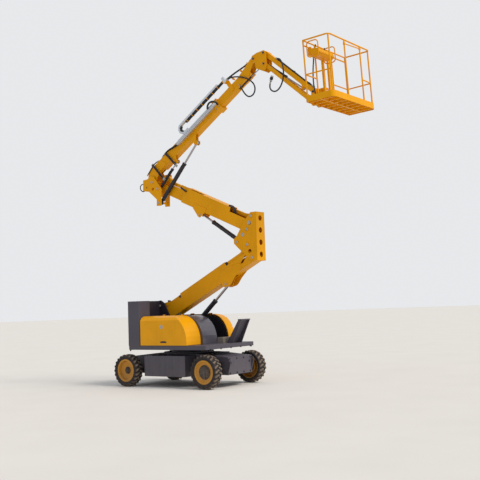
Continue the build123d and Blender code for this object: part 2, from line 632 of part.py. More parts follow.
# Lower boom and its levelling link
def lower_boom():
    """Box boom: side plates, bottom, raised cover over the link, doubler with the rod lug."""
    length = LOWER_LENGTH
    outer = [
        (-75, LOWER_BOTTOM + 20), (-40, LOWER_BOTTOM), (length + 40, LOWER_BOTTOM), (length + 75, LOWER_BOTTOM + 20),
        (length + 75, 60), (length - 60, LOWER_TOP), (COVER_END, LOWER_TOP), (COVER_END - 10, COVER_RISE),
        (COVER_START + 10, COVER_RISE), (COVER_START, LOWER_TOP), (140, LOWER_TOP), (-75, 60),
    ]
    inner = [
        (90, LOWER_BOTTOM + BOOM_WALL), (length - 90, LOWER_BOTTOM + BOOM_WALL), (length + 90, 62), (length + 90, LOWER_TOP + 200),
        (COVER_END + 1, LOWER_TOP + 200), (COVER_END + 1, COVER_RISE - BOOM_WALL), (COVER_START - 1, COVER_RISE - BOOM_WALL),
        (COVER_START - 1, LOWER_TOP + 200), (-90, LOWER_TOP + 200), (-90, 62),
    ]
    body = box_section(LOWER_PIVOT, lower_at, (outer, inner), BOOM_HALF, BOOM_WALL)
    for u in (0, length):
        body += drum(lower_at(LOWER_PIVOT, u, 0), BOSS_RADIUS + 20, BOOM_Y - 135, BOOM_Y + 135)
    for y_from in (BOOM_Y - BOOM_HALF - 10, BOOM_Y + BOOM_HALF):
        doubler = plate([lower_at(LOWER_PIVOT, u, n) for u, n in
                         [(1856, 40), (1856, -100), (1881, -199), (2030, -232), (2090, -222), (2265, -138), (2520, -60), (2520, 60), (2200, 150), (1950, 150)]],
                        y_from, y_from + 10)
        body += doubler
    slot = plate([lower_at(LOWER_PIVOT, u, n) for u, n in [(1780, -200), (2240, -200), (2240, LOWER_BOTTOM + BOOM_WALL + 1), (1780, LOWER_BOTTOM + BOOM_WALL + 1)]],
                 BOOM_Y - 62, BOOM_Y + 62)
    body -= slot
    window = plate([lower_at(LOWER_PIVOT, u, n) for u, n in [(2541, 30), (2600, 30), (2745, 110), (2745, 140), (2700, 140), (2541, 60)]],
                   BOOM_Y - BOOM_HALF - 20, BOOM_Y + BOOM_HALF + 20)
    body -= window
    feet = [lower_at(LOWER_PIVOT, u, LOWER_BOTTOM) for u in (1870, 2160)]
    for side in (-1, 1):
        y_from = BOOM_Y + side * (EYE_WIDTH / 2 + LUG_GAP) + (0 if side > 0 else -LUG_EAR)
        ear = plate([feet[0], lower_at(LOWER_PIVOT, 1880, -150), lower_at(LOWER_PIVOT, 1905, -212), lower_at(LOWER_PIVOT, 2010, -214), feet[1]], y_from, y_from + LUG_EAR)
        body += ear
    for side in (-1, 1):
        inner = BOOM_Y + side * (EYE_WIDTH / 2 + LUG_GAP)
        outer_y = BOOM_Y + side * (BOOM_HALF + 10)
        body += drum(LOWER_EYE, 26, min(inner, outer_y), max(inner, outer_y))
    body = bored(body, LOWER_PIVOT)
    return bored(body, KNUCKLE_LOWER)


def level_link(start, end, place, origin, length, y_from, y_to, u_start):
    """Cranked levelling link: eyes at both pins and a straight bar below their line."""
    points = [
        (u_start - 30, 288), (u_start + 30, 268), (u_start + 250, LINK_LOW), (u_start + length - 250, LINK_LOW), (u_start + length - 30, 268),
        (u_start + length + 30, 288), (u_start + length + 30, 330), (u_start + length - 60, 345), (u_start + length - 300, LINK_HIGH),
        (u_start + 300, LINK_HIGH), (u_start + 60, 345), (u_start - 30, 330),
    ]
    body = plate([place(origin, u, n) for u, n in points], y_from, y_to)
    inner = [(u_start + 120, LINK_LOW - 200), (u_start + length - 120, LINK_LOW - 200), (u_start + length - 300, LINK_HIGH - 12), (u_start + 300, LINK_HIGH - 12)]
    body -= plate([place(origin, u, n) for u, n in inner], y_from + 12, y_to - 12)
    for spot in (start, end):
        body += drum(spot, BOSS_RADIUS, y_from, y_to)
    for spot in (start, end):
        body = bored(body, spot)
    return body


NODES["lower_boom"] = lower_boom()
NODES["lower_link"] = level_link(LOWER_LINK_PIVOT, KNUCKLE_LOWER_LINK, lower_at, LOWER_PIVOT, LOWER_LENGTH, BOOM_Y - 104, BOOM_Y + 104, 21)


# Mid knuckle
def mid_knuckle():
    """Channel with four round holes in its back and cheeks that carry six pins."""
    cx, cz = KNUCKLE_LOWER
    outline = [
        (cx + 134, cz - 74), (cx + 134, cz + 987), (cx + 108, cz + 987), (cx - 10, cz + 985), (cx - 197, cz + 800),
        (cx - 400, cz + 498), (cx - 488, cz + 425), (cx - 486, cz + 330), (cx - 384, cz + 232), (cx - 60, cz - 56), (cx + 30, cz - 78),
    ]
    y_near, y_far = about_boom(CHEEK_OUT)
    outer = plate(outline, y_near, y_far)
    gap = block(cx - 900, cx + 120, BOOM_Y - CHEEK_IN, BOOM_Y + CHEEK_IN, cz - 300, cz + 1300)
    body = outer - gap
    for step in range(4):
        z = cz + 58 + step * 265
        body -= Pos(cx + 127, BOOM_Y, z) * Rot(0, 90, 0) * Cylinder(62, 60)
    for dx, dz, radius in ((-52, 754, 46), (-64, 137, 46)):
        body -= drum((cx + dx, cz + dz), radius, BOOM_Y - 400, BOOM_Y + 400)
    for place in (KNUCKLE_LOWER, KNUCKLE_LOWER_LINK, KNUCKLE_MIDDLE, KNUCKLE_MIDDLE_LINK):
        body += pin(place)
    body += pin(KNUCKLE_CYLINDER, radius=26, head=38)
    return body


NODES["mid_knuckle"] = mid_knuckle()


# Middle boom and its levelling link
def middle_boom():
    """Box boom with a raised full section and a narrow tongue at the upper knuckle."""
    length = MIDDLE_LENGTH
    outer = [
        (MIDDLE_FULL_START, MIDDLE_BOTTOM), (length + 40, MIDDLE_BOTTOM), (length + 72, MIDDLE_BOTTOM + 20), (length + 72, 60),
        (length - 60, LOWER_TOP), (MIDDLE_FULL_END, LOWER_TOP), (MIDDLE_FULL_END - 14, MIDDLE_TOP), (MIDDLE_FULL_START, MIDDLE_TOP),
    ]
    inner = [
        (MIDDLE_FULL_START - 1, MIDDLE_BOTTOM + BOOM_WALL), (length - 90, MIDDLE_BOTTOM + BOOM_WALL), (length + 90, 62), (length + 90, LOWER_TOP + 200),
        (MIDDLE_FULL_END + 1, LOWER_TOP + 200), (MIDDLE_FULL_END + 1, MIDDLE_TOP - BOOM_WALL), (MIDDLE_FULL_START - 1, MIDDLE_TOP - BOOM_WALL),
    ]
    body = box_section(UPPER_PIVOT, middle_at, (outer, inner), BOOM_HALF, BOOM_WALL)
    # Recess that lets the lift cylinder sink into the near half when the booms fold
    recess = plate([middle_at(UPPER_PIVOT, u, n) for u, n in [(MIDDLE_FULL_START - 5, 60), (1330, 60), (1330, 400), (MIDDLE_FULL_START - 5, 400)]],
                   BOOM_Y - BOOM_HALF + BOOM_WALL, BOOM_Y - 2)
    body -= recess
    tongue = plate([middle_at(UPPER_PIVOT, u, n) for u, n in
                    [(-40, -50), (40, MIDDLE_BOTTOM), (MIDDLE_FULL_START + 200, MIDDLE_BOTTOM), (MIDDLE_FULL_START + 200, MIDDLE_TONGUE_TOP - 60),
                     (MIDDLE_FULL_START, MIDDLE_TONGUE_TOP), (80, MIDDLE_TONGUE_TOP), (-55, 40)]],
                   BOOM_Y + 2, BOOM_Y + BOOM_HALF)
    tongue += drum(UPPER_PIVOT, 66, BOOM_Y + 2, BOOM_Y + 135)
    body += tongue
    body += drum(KNUCKLE_MIDDLE, 70, BOOM_Y - 135, BOOM_Y + 135)
    slot = plate([middle_at(UPPER_PIVOT, u, n) for u, n in [(1290, -300), (1620, -300), (1620, MIDDLE_BOTTOM + BOOM_WALL + 1), (1290, MIDDLE_BOTTOM + BOOM_WALL + 1)]],
                 BOOM_Y - 62, BOOM_Y + 62)
    body -= slot
    for y_from in (BOOM_Y - BOOM_HALF - 10, BOOM_Y + BOOM_HALF):
        doubler = plate([middle_at(UPPER_PIVOT, u, n) for u, n in
                         [(1190, 40), (1190, -75), (1320, -150), (1405, -205), (1470, -215), (1500, -170), (1560, -75), (1590, 40)]], y_from, y_from + 10)
        body += doubler
    for side in (-1, 1):
        inner_y = BOOM_Y + side * (EYE_WIDTH / 2 + LUG_GAP)
        outer_y = BOOM_Y + side * (BOOM_HALF + 10)
        body += drum(MIDDLE_EYE, 26, min(inner_y, outer_y), max(inner_y, outer_y))
    body = bored(body, UPPER_PIVOT)
    return bored(body, KNUCKLE_MIDDLE)


NODES["middle_boom"] = middle_boom()
NODES["middle_link"] = level_link(UPPER_LINK_PIVOT, KNUCKLE_MIDDLE_LINK, middle_at, UPPER_PIVOT, MIDDLE_LENGTH, BOOM_Y + 22, BOOM_Y + 112, -13)


# Upper knuckle
def upper_knuckle():
    """Two cheeks: boom foot above, middle boom pin, lift cylinder pin at the bottom."""
    ux, uz = UPPER_PIVOT
    near_outline = [
        (ux - 463, uz + 252), (ux - 475, uz - 9), (ux - 280, uz - 47), (ux - 39, uz - 255), (ux - 42, uz - 410), (ux + 101, uz - 415),
        (ux + 114, uz - 12), (ux - 44, uz + 190), (ux - 120, uz + 300), (ux - 215, uz + 330), (ux - 330, uz + 262),
    ]
    far_outline = near_outline[:7] + [(ux + 190, uz + 220), (ux + 180, uz + 340), (ux + 80, uz + 350)] + near_outline[8:]
    body = plate(near_outline, BOOM_Y - CHEEK_OUT, BOOM_Y - CHEEK_IN)
    body += plate(far_outline, BOOM_Y + CHEEK_IN, BOOM_Y + CHEEK_OUT)
    web_low = plate([(ux - 470, uz + 30), (ux - 440, uz + 30), (ux - 440, uz + 200), (ux - 470, uz + 200)], BOOM_Y - CHEEK_IN - 1, BOOM_Y + CHEEK_IN + 1)
    body += web_low
    for dx, dz, radius in ((-354, 63, 22), (-158, 3, 40)):
        body -= drum((ux + dx, uz + dz), radius, BOOM_Y - 400, BOOM_Y)
    body += pin(UPPER_PIVOT)
    body += pin(MAIN_PIVOT)
    body += pin(UPPER_CYLINDER, radius=26, head=38)
    stub = drum(UPPER_LINK_PIVOT, PIN_RADIUS, BOOM_Y + 10, BOOM_Y + CHEEK_OUT + 8)
    stub += drum(UPPER_LINK_PIVOT, PIN_HEAD, BOOM_Y + CHEEK_OUT, BOOM_Y + CHEEK_OUT + 12)
    stub += drum(UPPER_LINK_PIVOT, PIN_HEAD, BOOM_Y + 6, BOOM_Y + 16)
    return body + stub


NODES["upper_knuckle"] = upper_knuckle()


# Main boom, its tray and chain
def main_boom():
    """Outer box of the telescopic boom with its foot, collar and cylinder lugs."""
    outer = [(60, MAIN_BOTTOM), (MAIN_END, MAIN_BOTTOM), (MAIN_END, MAIN_TOP), (60, MAIN_TOP)]
    inner = [(150, MAIN_BOTTOM + BOOM_WALL), (MAIN_END + 1, MAIN_BOTTOM + BOOM_WALL), (MAIN_END + 1, MAIN_TOP - BOOM_WALL), (150, MAIN_TOP - BOOM_WALL)]
    body = box_section(MAIN_PIVOT, main_at, (outer, inner), MAIN_HALF, BOOM_WALL)
    foot = [(-65, -20), (-30, -60), (40, -55), (330, MAIN_BOTTOM + 5), (600, MAIN_BOTTOM + 5), (480, MAIN_TOP - 5), (60, MAIN_TOP - 5), (-50, 200), (-65, 60)]
    for y_from in (BOOM_Y - MAIN_HALF - 14, BOOM_Y + MAIN_HALF):
        body += plate([main_at(MAIN_PIVOT, u, n) for u, n in foot], y_from, y_from + 14)
    notch = [(238, -70), (405, -70), (405, LINK_NOTCH), (238, LINK_NOTCH)]
    body -= plate([main_at(MAIN_PIVOT, u, n) for u, n in notch], BOOM_Y - 2, BOOM_Y + MAIN_HALF + 20)
    body += drum(MAIN_PIVOT, 62, BOOM_Y - 135, BOOM_Y + 135)
    collar_outer = [(MAIN_END - 150, MAIN_BOTTOM - 22), (MAIN_END, MAIN_BOTTOM - 22), (MAIN_END, MAIN_TOP + 20), (MAIN_END - 150, MAIN_TOP + 20)]
    collar_inner = [(MAIN_END - 151, MAIN_BOTTOM + 1), (MAIN_END + 1, MAIN_BOTTOM + 1), (MAIN_END + 1, MAIN_TOP - 1), (MAIN_END - 151, MAIN_TOP - 1)]
    near, far = about_boom(MAIN_HALF + 22)
    collar = plate([main_at(MAIN_PIVOT, u, n) for u, n in collar_outer], near, far)
    near, far = about_boom(MAIN_HALF - 1)
    collar -= plate([main_at(MAIN_PIVOT, u, n) for u, n in collar_inner], near, far)
    body += collar
    pad_low, pad_high = MAIN_BOTTOM + BOOM_WALL, MAIN_TOP - BOOM_WALL
    pad_side = MAIN_HALF - BOOM_WALL
    reach = FLY_CLEAR - FIT
    for n_from, n_to in ((pad_low - 1, pad_low + reach), (pad_high - reach, pad_high + 1)):
        body += plate([main_at(MAIN_PIVOT, u, n) for u, n in [(MAIN_END - 130, n_from), (MAIN_END - 12, n_from), (MAIN_END - 12, n_to), (MAIN_END - 130, n_to)]], BOOM_Y - 60, BOOM_Y + 60)
    for side in (-1, 1):
        edges = sorted((BOOM_Y + side * (pad_side - reach), BOOM_Y + side * (pad_side + 1)))
        body += plate([main_at(MAIN_PIVOT, u, n) for u, n in [(MAIN_END - 130, 140), (MAIN_END - 12, 140), (MAIN_END - 12, 250), (MAIN_END - 130, 250)]], edges[0], edges[1])
    for tip, y, bore, reach, gap in ((MAIN_EYE, LIFT_Y, 26, 150, EYE_WIDTH / 2 + LUG_GAP), (MASTER_EYE, LIFT_Y, 18, 90, EYE_WIDTH / 3 + LUG_GAP)):
        u_tip = (tip[0] - MAIN_PIVOT[0]) * math.cos(math.radians(MAIN_ANGLE)) + (tip[1] - MAIN_PIVOT[1]) * math.sin(math.radians(MAIN_ANGLE))
        feet = [main_at(MAIN_PIVOT, u_tip + reach * 0.9, MAIN_BOTTOM + 5), main_at(MAIN_PIVOT, u_tip - reach * 0.7, MAIN_BOTTOM + 5)]
        body += ears(tip, feet, y, bore + 30, gap, LUG_EAR * (1.0 if bore > 20 else 0.7), bore)
    return bored(body, MAIN_PIVOT)


TRAY_START, TRAY_END = 1145.0, 2455.0
CHAIN_LOW, CHAIN_HIGH = 212.0, 268.0
CHAIN_GAP = 0.3
CHAIN_BEND = 1490.0
CHAIN_MID = 400.0
CHAIN_OUTER, CHAIN_INNER = 132.0, 92.0
CHAIN_NEAR = BOOM_Y - MAIN_HALF - 70.0
CHAIN_FAR = BOOM_Y - MAIN_HALF - 8.0
CHAIN_FAR_END = 2838.0
BUNDLE_START, BUNDLE_END = 1640.0, 3010.0


def chain_tray():
    """Sheet tray on the near side of the main boom, with the lower run of chain in it."""
    y_near, y_far = CHAIN_NEAR - 6, BOOM_Y - MAIN_HALF
    floor = plate([main_at(MAIN_PIVOT, u, n) for u, n in [(TRAY_START, 180), (TRAY_END + 110, 180), (TRAY_END + 110, 186), (TRAY_START, 186)]], y_near, y_far)
    lip = plate([main_at(MAIN_PIVOT, u, n) for u, n in [(TRAY_START, 180), (TRAY_END + 110, 180), (TRAY_END + 110, 245), (TRAY_START, 245)]], y_near, y_near + 4)
    run = plate([main_at(MAIN_PIVOT, u, n) for u, n in [(TRAY_START + 60, 185), (TRAY_END, 185), (TRAY_END, CHAIN_HIGH), (TRAY_START + 60, CHAIN_HIGH)]], CHAIN_NEAR, CHAIN_FAR)
    collar = [(MAIN_END - 151, 0), (MAIN_END + 1, 0), (MAIN_END + 1, 400), (MAIN_END - 151, 400)]
    body = floor + lip + run
    return body - plate([main_at(MAIN_PIVOT, u, n) for u, n in collar], BOOM_Y - MAIN_HALF - 22, BOOM_Y)


def drag_chain():
    """Bend and upper run of the chain, which lies on the lower run and rolls along it."""
    centre = main_at(MAIN_PIVOT, CHAIN_BEND, CHAIN_MID)
    ring = drum(centre, CHAIN_OUTER, CHAIN_NEAR, CHAIN_FAR) - drum(centre, CHAIN_INNER, CHAIN_NEAR - 1, CHAIN_FAR + 1)
    keep = plate([main_at(MAIN_PIVOT, u, n) for u, n in [(CHAIN_BEND - 200, 0), (CHAIN_BEND, 0), (CHAIN_BEND, 700), (CHAIN_BEND - 200, 700)]], CHAIN_NEAR - 2, CHAIN_FAR + 2)
    body = ring & keep
    upper = [(CHAIN_BEND - 1, CHAIN_MID + CHAIN_INNER), (CHAIN_FAR_END, CHAIN_MID + CHAIN_INNER), (CHAIN_FAR_END, CHAIN_MID + CHAIN_OUTER), (CHAIN_BEND - 1, CHAIN_MID + CHAIN_OUTER)]
    lower = [(CHAIN_BEND - 1, CHAIN_HIGH + CHAIN_GAP), (CHAIN_BEND + 120, CHAIN_HIGH + CHAIN_GAP), (CHAIN_BEND + 120, CHAIN_HIGH + 34), (CHAIN_BEND - 1, CHAIN_MID - CHAIN_INNER)]
    body += plate([main_at(MAIN_PIVOT, u, n) for u, n in upper], CHAIN_NEAR, CHAIN_FAR)
    body += plate([main_at(MAIN_PIVOT, u, n) for u, n in lower], CHAIN_NEAR, CHAIN_FAR)
    return body


def hose_bundle():
    """Hoses clipped under the chain's upper run, held by a bracket on the fly boom."""
    low = CHAIN_MID + CHAIN_INNER - 46
    high = CHAIN_MID + CHAIN_INNER - 6
    body = plate([main_at(MAIN_PIVOT, u, n) for u, n in [(BUNDLE_START, low), (BUNDLE_END, low), (BUNDLE_END, high), (BUNDLE_START, high)]], CHAIN_NEAR + 6, CHAIN_FAR - 6)
    bracket = plate([main_at(MAIN_PIVOT, u, n) for u, n in [(BUNDLE_END - 10, 150), (BUNDLE_END + 60, 150), (BUNDLE_END + 60, high + 50), (BUNDLE_END - 10, high + 50)]],
                    CHAIN_NEAR, BOOM_Y - MAIN_HALF + BOOM_WALL + FLY_CLEAR)
    return body + bracket


def fly_boom():
    """Inner box that slides in the main boom, with side plates at the tip."""
    low = MAIN_BOTTOM + BOOM_WALL + FLY_CLEAR
    high = MAIN_TOP - BOOM_WALL - FLY_CLEAR
    half = MAIN_HALF - BOOM_WALL - FLY_CLEAR
    box_end = FLY_PIN_REACH - FLY_BOX_SHORT
    outer = [(FLY_INNER_END, low), (box_end, low), (box_end, high), (FLY_INNER_END, high)]
    inner = [(FLY_INNER_END - 1, low + 8), (box_end + 1, low + 8), (box_end + 1, high - 8), (FLY_INNER_END - 1, high - 8)]
    body = box_section(MAIN_PIVOT, main_at, (outer, inner), half, 8)
    tip = [(3380, low), (3560, low), (FLY_PIN_REACH - 60, 255), (FLY_PIN_REACH + 58, 275), (FLY_PIN_REACH + 60, 345), (FLY_PIN_REACH + 20, 372), (3800, 372), (3380, high)]
    for y_from in (BOOM_Y - half - 10, BOOM_Y + half):
        body += plate([main_at(MAIN_PIVOT, u, n) for u, n in tip], y_from, y_from + 10)
    body += drum(YOKE_PIVOT, 48, BOOM_Y - half - 10, BOOM_Y + half + 10)
    reach = FLY_CLEAR - FIT
    for n_from, n_to in ((low - reach, low + 1), (high - 1, high + reach)):
        body += plate([main_at(MAIN_PIVOT, u, n) for u, n in [(FLY_INNER_END + 10, n_from), (FLY_INNER_END + 110, n_from), (FLY_INNER_END + 110, n_to), (FLY_INNER_END + 10, n_to)]], BOOM_Y - 60, BOOM_Y + 60)
    for side in (-1, 1):
        edges = sorted((BOOM_Y + side * (half - 1), BOOM_Y + side * (half + reach)))
        body += plate([main_at(MAIN_PIVOT, u, n) for u, n in [(FLY_INNER_END + 10, 140), (FLY_INNER_END + 110, 140), (FLY_INNER_END + 110, 250), (FLY_INNER_END + 10, 250)]], edges[0], edges[1])
    slot_start = SLAVE_U + 240
    slot_outline = [(slot_start, low - 20), (box_end + 1, low - 20), (box_end + 1, low + 12), (slot_start, low + 12)]
    body -= plate([main_at(MAIN_PIVOT, u, n) for u, n in slot_outline], BOOM_Y - 40, BOOM_Y + 40)
    feet = [main_at(MAIN_PIVOT, SLAVE_U + 90, low + 4), main_at(MAIN_PIVOT, SLAVE_U - 90, low + 4)]
    body += ears(SLAVE_BASE, feet, BOOM_Y, 36, EYE_WIDTH / 3 + LUG_GAP, 10, 18)
    body += drum(SLAVE_BASE, 18, BOOM_Y - EYE_WIDTH / 3 - LUG_GAP - 1, BOOM_Y + EYE_WIDTH / 3 + LUG_GAP + 1)
    return bored(body, YOKE_PIVOT, JIB_PIN + FIT)


NODES["main_boom"] = main_boom()
NODES["chain_tray"] = chain_tray()
NODES["drag_chain"] = drag_chain()
NODES["hose_bundle"] = hose_bundle()
NODES["fly_boom"] = fly_boom()


# Jib
def jib_yoke():
    """Cheeks at the boom tip that carry both jib arms and stay level."""
    ax, az = YOKE_PIVOT
    outline = [
        (ax - 62, az + 10), (ax - 30, az + 70), (ax + 90, az + 110), (ax + 286, az + 136), (ax + 345, az + 90), (ax + 350, az - 200),
        (ax + 330, az - 290), (ax + 250, az - 330), (ax + 150, az - 275), (ax + 60, az - 235), (ax + 40, az - 100), (ax - 40, az - 50),
    ]
    body = None
    for y_from in (BOOM_Y - YOKE_HALF, BOOM_Y + YOKE_HALF - 12):
        cheek = plate(outline, y_from, y_from + 12)
        body = cheek if body is None else body + cheek
    cross = ax + YOKE_CROSS
    low = YOKE_CYLINDER[1] - 34
    body += block(cross, cross + 16, BOOM_Y - YOKE_HALF + 1, BOOM_Y + YOKE_HALF - 1, low, az + 100)
    feet = [(cross + 2, low + 6), (cross + 2, low + 96)]
    body += ears(YOKE_CYLINDER, feet, BOOM_Y, 32, EYE_WIDTH / 3 + LUG_GAP, 12, 18)
    for place in (YOKE_PIVOT, JIB_UPPER, JIB_LOWER):
        body += pin(place, radius=JIB_PIN, half=YOKE_HALF, head=JIB_PIN + 11)
    return body


def jib_upper_arm():
    """Upper jib bar, with the cylinder lug under it."""
    near, far = about_boom(JIB_HALF)
    outer = slab(JIB_UPPER, MOUNT_UPPER, -48, 52, near, far)
    inner = slab(turned(JIB_UPPER, JIB_ANGLE, 60, 0), turned(JIB_UPPER, JIB_ANGLE, JIB_LENGTH - 60, 0), -40, 44, near + 8, far - 8)
    body = outer - inner
    # Slots under the bar where the cylinder's barrel and rod come close
    slot_ends = [turned(JIB_UPPER, JIB_ANGLE, u, 0) for u in (JIB_BOSS + 16, JIB_EYE_U - 260, JIB_LENGTH - 130)]
    body -= slab(slot_ends[0], slot_ends[1], -60, -39, BOOM_Y - 45, BOOM_Y + 45)
    body -= slab(slot_ends[0], slot_ends[2], -60, -39, BOOM_Y - 25, BOOM_Y + 25)
    for place in (JIB_UPPER, MOUNT_UPPER):
        body += drum(place, JIB_BOSS, BOOM_Y - 92, BOOM_Y + 92)
    feet = [turned(JIB_UPPER, JIB_ANGLE, JIB_EYE_U + 105, -44), turned(JIB_UPPER, JIB_ANGLE, JIB_EYE_U - 95, -44)]
    body += ears(JIB_EYE, feet, BOOM_Y, 36, EYE_WIDTH / 3 + 6, 10, 16)
    for place in (JIB_UPPER, MOUNT_UPPER):
        body = bored(body, place, JIB_PIN + FIT)
    return body


def jib_lower_arm():
    """Lower jib bars, a pair joined by cross tubes so that the cylinder lies between them."""
    body = None
    for side in (-1, 1):
        y_in = BOOM_Y + side * 50
        y_out = BOOM_Y + side * 84
        bar = slab(JIB_LOWER, MOUNT_LOWER, -44, 40, min(y_in, y_out), max(y_in, y_out))
        for place in (JIB_LOWER, MOUNT_LOWER):
            bar += drum(place, JIB_BOSS, min(y_in, y_out), max(y_in, y_out))
        body = bar if body is None else body + bar
    for u in (1250, 1480):
        cross = turned(JIB_LOWER, JIB_ANGLE, u, -22)
        body += drum(cross, 20, BOOM_Y - 60, BOOM_Y + 60)
    for place in (JIB_LOWER, MOUNT_LOWER):
        body = bored(body, place, JIB_PIN + FIT)
    return body


def platform_mount():
    """Cheeks on the jib pins and the upright post that the platform turns about."""
    ex, ez = MOUNT_UPPER
    outline = [(ex - 55, ez + 30), (ex - 20, ez + 60), (ex + 60, ez + 60), (ex + 60, ez - JIB_LINK_DROP - 60), (ex - 20, ez - JIB_LINK_DROP - 60), (ex - 55, ez - JIB_LINK_DROP - 30)]
    body = None
    for y_from in (BOOM_Y - YOKE_HALF, BOOM_Y + YOKE_HALF - 12):
        cheek = plate(outline, y_from, y_from + 12)
        body = cheek if body is None else body + cheek
    body += block(ex + 50, ex + 66, BOOM_Y - YOKE_HALF, BOOM_Y + YOKE_HALF, ez - JIB_LINK_DROP - 60, ez + 60)
    for place in (MOUNT_UPPER, MOUNT_LOWER):
        body += pin(place, radius=JIB_PIN, half=YOKE_HALF, head=JIB_PIN + 11)
    post = Pos(ex + PLATFORM_PIVOT_X, BOOM_Y, ez - JIB_LINK_DROP / 2) * Rot(0, -PLATFORM_TILT, 0) * (Cylinder(62, 271) + Cylinder(PIVOT_PIN, 360))
    arm = block(ex + 60, ex + PLATFORM_PIVOT_X, BOOM_Y - 50, BOOM_Y + 50, ez - JIB_LINK_DROP / 2 - 90, ez - JIB_LINK_DROP / 2 + 90)
    return body + arm + post


NODES["jib_yoke"] = jib_yoke()
NODES["jib_upper_arm"] = jib_upper_arm()
NODES["jib_lower_arm"] = jib_lower_arm()
NODES["platform_mount"] = platform_mount()


# Platform, drawn level about its pivot and then tilted with it
PIVOT = (MOUNT_UPPER[0] + PLATFORM_PIVOT_X, BOOM_Y, MOUNT_UPPER[1] - JIB_LINK_DROP / 2)
FLOOR_UNDER = -PLATFORM_BELOW_PIN + JIB_LINK_DROP / 2
FLOOR_TOP = FLOOR_UNDER + 63
TREAD_RISE = 3.0
RAIL_TOP = FLOOR_UNDER + PLATFORM_HEIGHT - RAIL_RADIUS
BACK_X = PLATFORM_GAP
FRONT_X = PLATFORM_GAP + PLATFORM_DEPTH
SIDE_Y = PLATFORM_WIDTH / 2


def tilted(shape):
    return Pos(*PIVOT) * Rot(0, -PLATFORM_TILT, 0) * shape


def tray(inset, height):
    """Rounded block in the platform's outline, square at the back and round in front."""
    box = block(BACK_X + inset, FRONT_X - inset, -SIDE_Y + inset, SIDE_Y - inset, 0, height)
    front = box.edges().filter_by(Axis.Z).sort_by(Axis.X)[-2:]
    return fillet(front, CORNER - inset)


def platform_floor():
    """Toe boards with round front corners, ribbed floor plate and a raised tread panel."""
    body = Pos(0, 0, FLOOR_UNDER) * tray(0, TOE_HEIGHT)
    body -= Pos(0, 0, FLOOR_TOP) * tray(5, TOE_HEIGHT)
    body -= Pos(0, 0, FLOOR_UNDER - 1) * tray(5, 58)
    for step in range(8):
        y = -SIDE_Y + 110 + step * (PLATFORM_WIDTH - 220) / 7
        body += block(BACK_X + 3, FRONT_X - 3, y - 14, y + 14, FLOOR_UNDER + 6, FLOOR_UNDER + 58)
    middle = (BACK_X + FRONT_X) / 2
    body += block(middle - 15, middle + 15, -SIDE_Y + 4, SIDE_Y - 4, FLOOR_UNDER + 2, FLOOR_UNDER + 58)
    panel = block(BACK_X + 62, FRONT_X - 70, -SIDE_Y + 75, SIDE_Y - 75, FLOOR_TOP - 1, FLOOR_TOP + TREAD_RISE)
    return body + panel


def platform_bracket():
    """Upper and lower pivot lugs with the two uprights that tie them to the platform's back."""
    face = BACK_X - FIT
    body = None
    for z in (-172.0, 136.0):
        lug = Pos(0, 0, z + 18) * Cylinder(66, 36) + block(0, face, -66, 66, z, z + 36)
        body = lug if body is None else body + lug
    for y in (-66, 54):
        body += block(face - 10, face, y, y + 12, FLOOR_UNDER + TOE_HEIGHT - 100, 172)
    return body - Cylinder(PIVOT_PIN + FIT, 500)


RAIL_INSET = 21.3
POST_INSET = RAIL_INSET + 1.0 + (CORNER - RAIL_INSET) * (1 - math.sqrt(0.5))
GATE_FROM, GATE_TO = -0.27, 0.50
MID_RAIL = FLOOR_UNDER + TOE_HEIGHT + 440
SECOND_RAIL = RAIL_TOP - 105


def across(share):
    """Y of a post at a share of the half width from the middle."""
    return share * (SIDE_Y - RAIL_INSET)


def bend(x, y, z, radius, start, tube=RAIL_RADIUS):
    """Quarter turn of tube about an upright axis, from an angle in degrees."""
    ring = Pos(radius, 0, 0) * Rot(90, 0, 0) * Circle(tube)
    return Pos(x, y, z) * Rot(0, 0, start) * revolve(ring, Axis.Z, 90)


BACK_LINE = BACK_X + RAIL_INSET
FRONT_LINE = FRONT_X - RAIL_INSET
END_LINE = SIDE_Y - RAIL_INSET
BEND = CORNER - RAIL_INSET
CORNER_POST_X = FRONT_X - POST_INSET
CORNER_POST_Y = SIDE_Y - POST_INSET
POST_FOOT = FLOOR_TOP


def back_rails():
    """Rails towards the boom: corner posts, two square posts, a thin post each side of them."""
    body = None
    for share in (-1.0, -0.48, 0.30, 1.0):
        tube = rod((BACK_LINE, across(share), POST_FOOT), (BACK_LINE, across(share), RAIL_TOP + 1), RAIL_RADIUS)
        body = tube if body is None else body + tube
    for y in (-130.0, 90.0):
        body += block(BACK_LINE - 15, BACK_LINE + 25, y - 28, y + 28, POST_FOOT, SECOND_RAIL)
    for z in (RAIL_TOP, SECOND_RAIL):
        body += rod((BACK_LINE, -END_LINE, z), (BACK_LINE, END_LINE, z), RAIL_RADIUS - 0.4)
    body += rod((BACK_LINE, -END_LINE, MID_RAIL), (BACK_LINE, across(-0.48), MID_RAIL), RAIL_RADIUS - 2)
    body += rod((BACK_LINE, across(0.30), MID_RAIL), (BACK_LINE, END_LINE, MID_RAIL), RAIL_RADIUS - 2)
    for side in (-1, 1):
        body += Pos(BACK_LINE, side * END_LINE, RAIL_TOP) * Sphere(RAIL_RADIUS + 0.6)
    return body


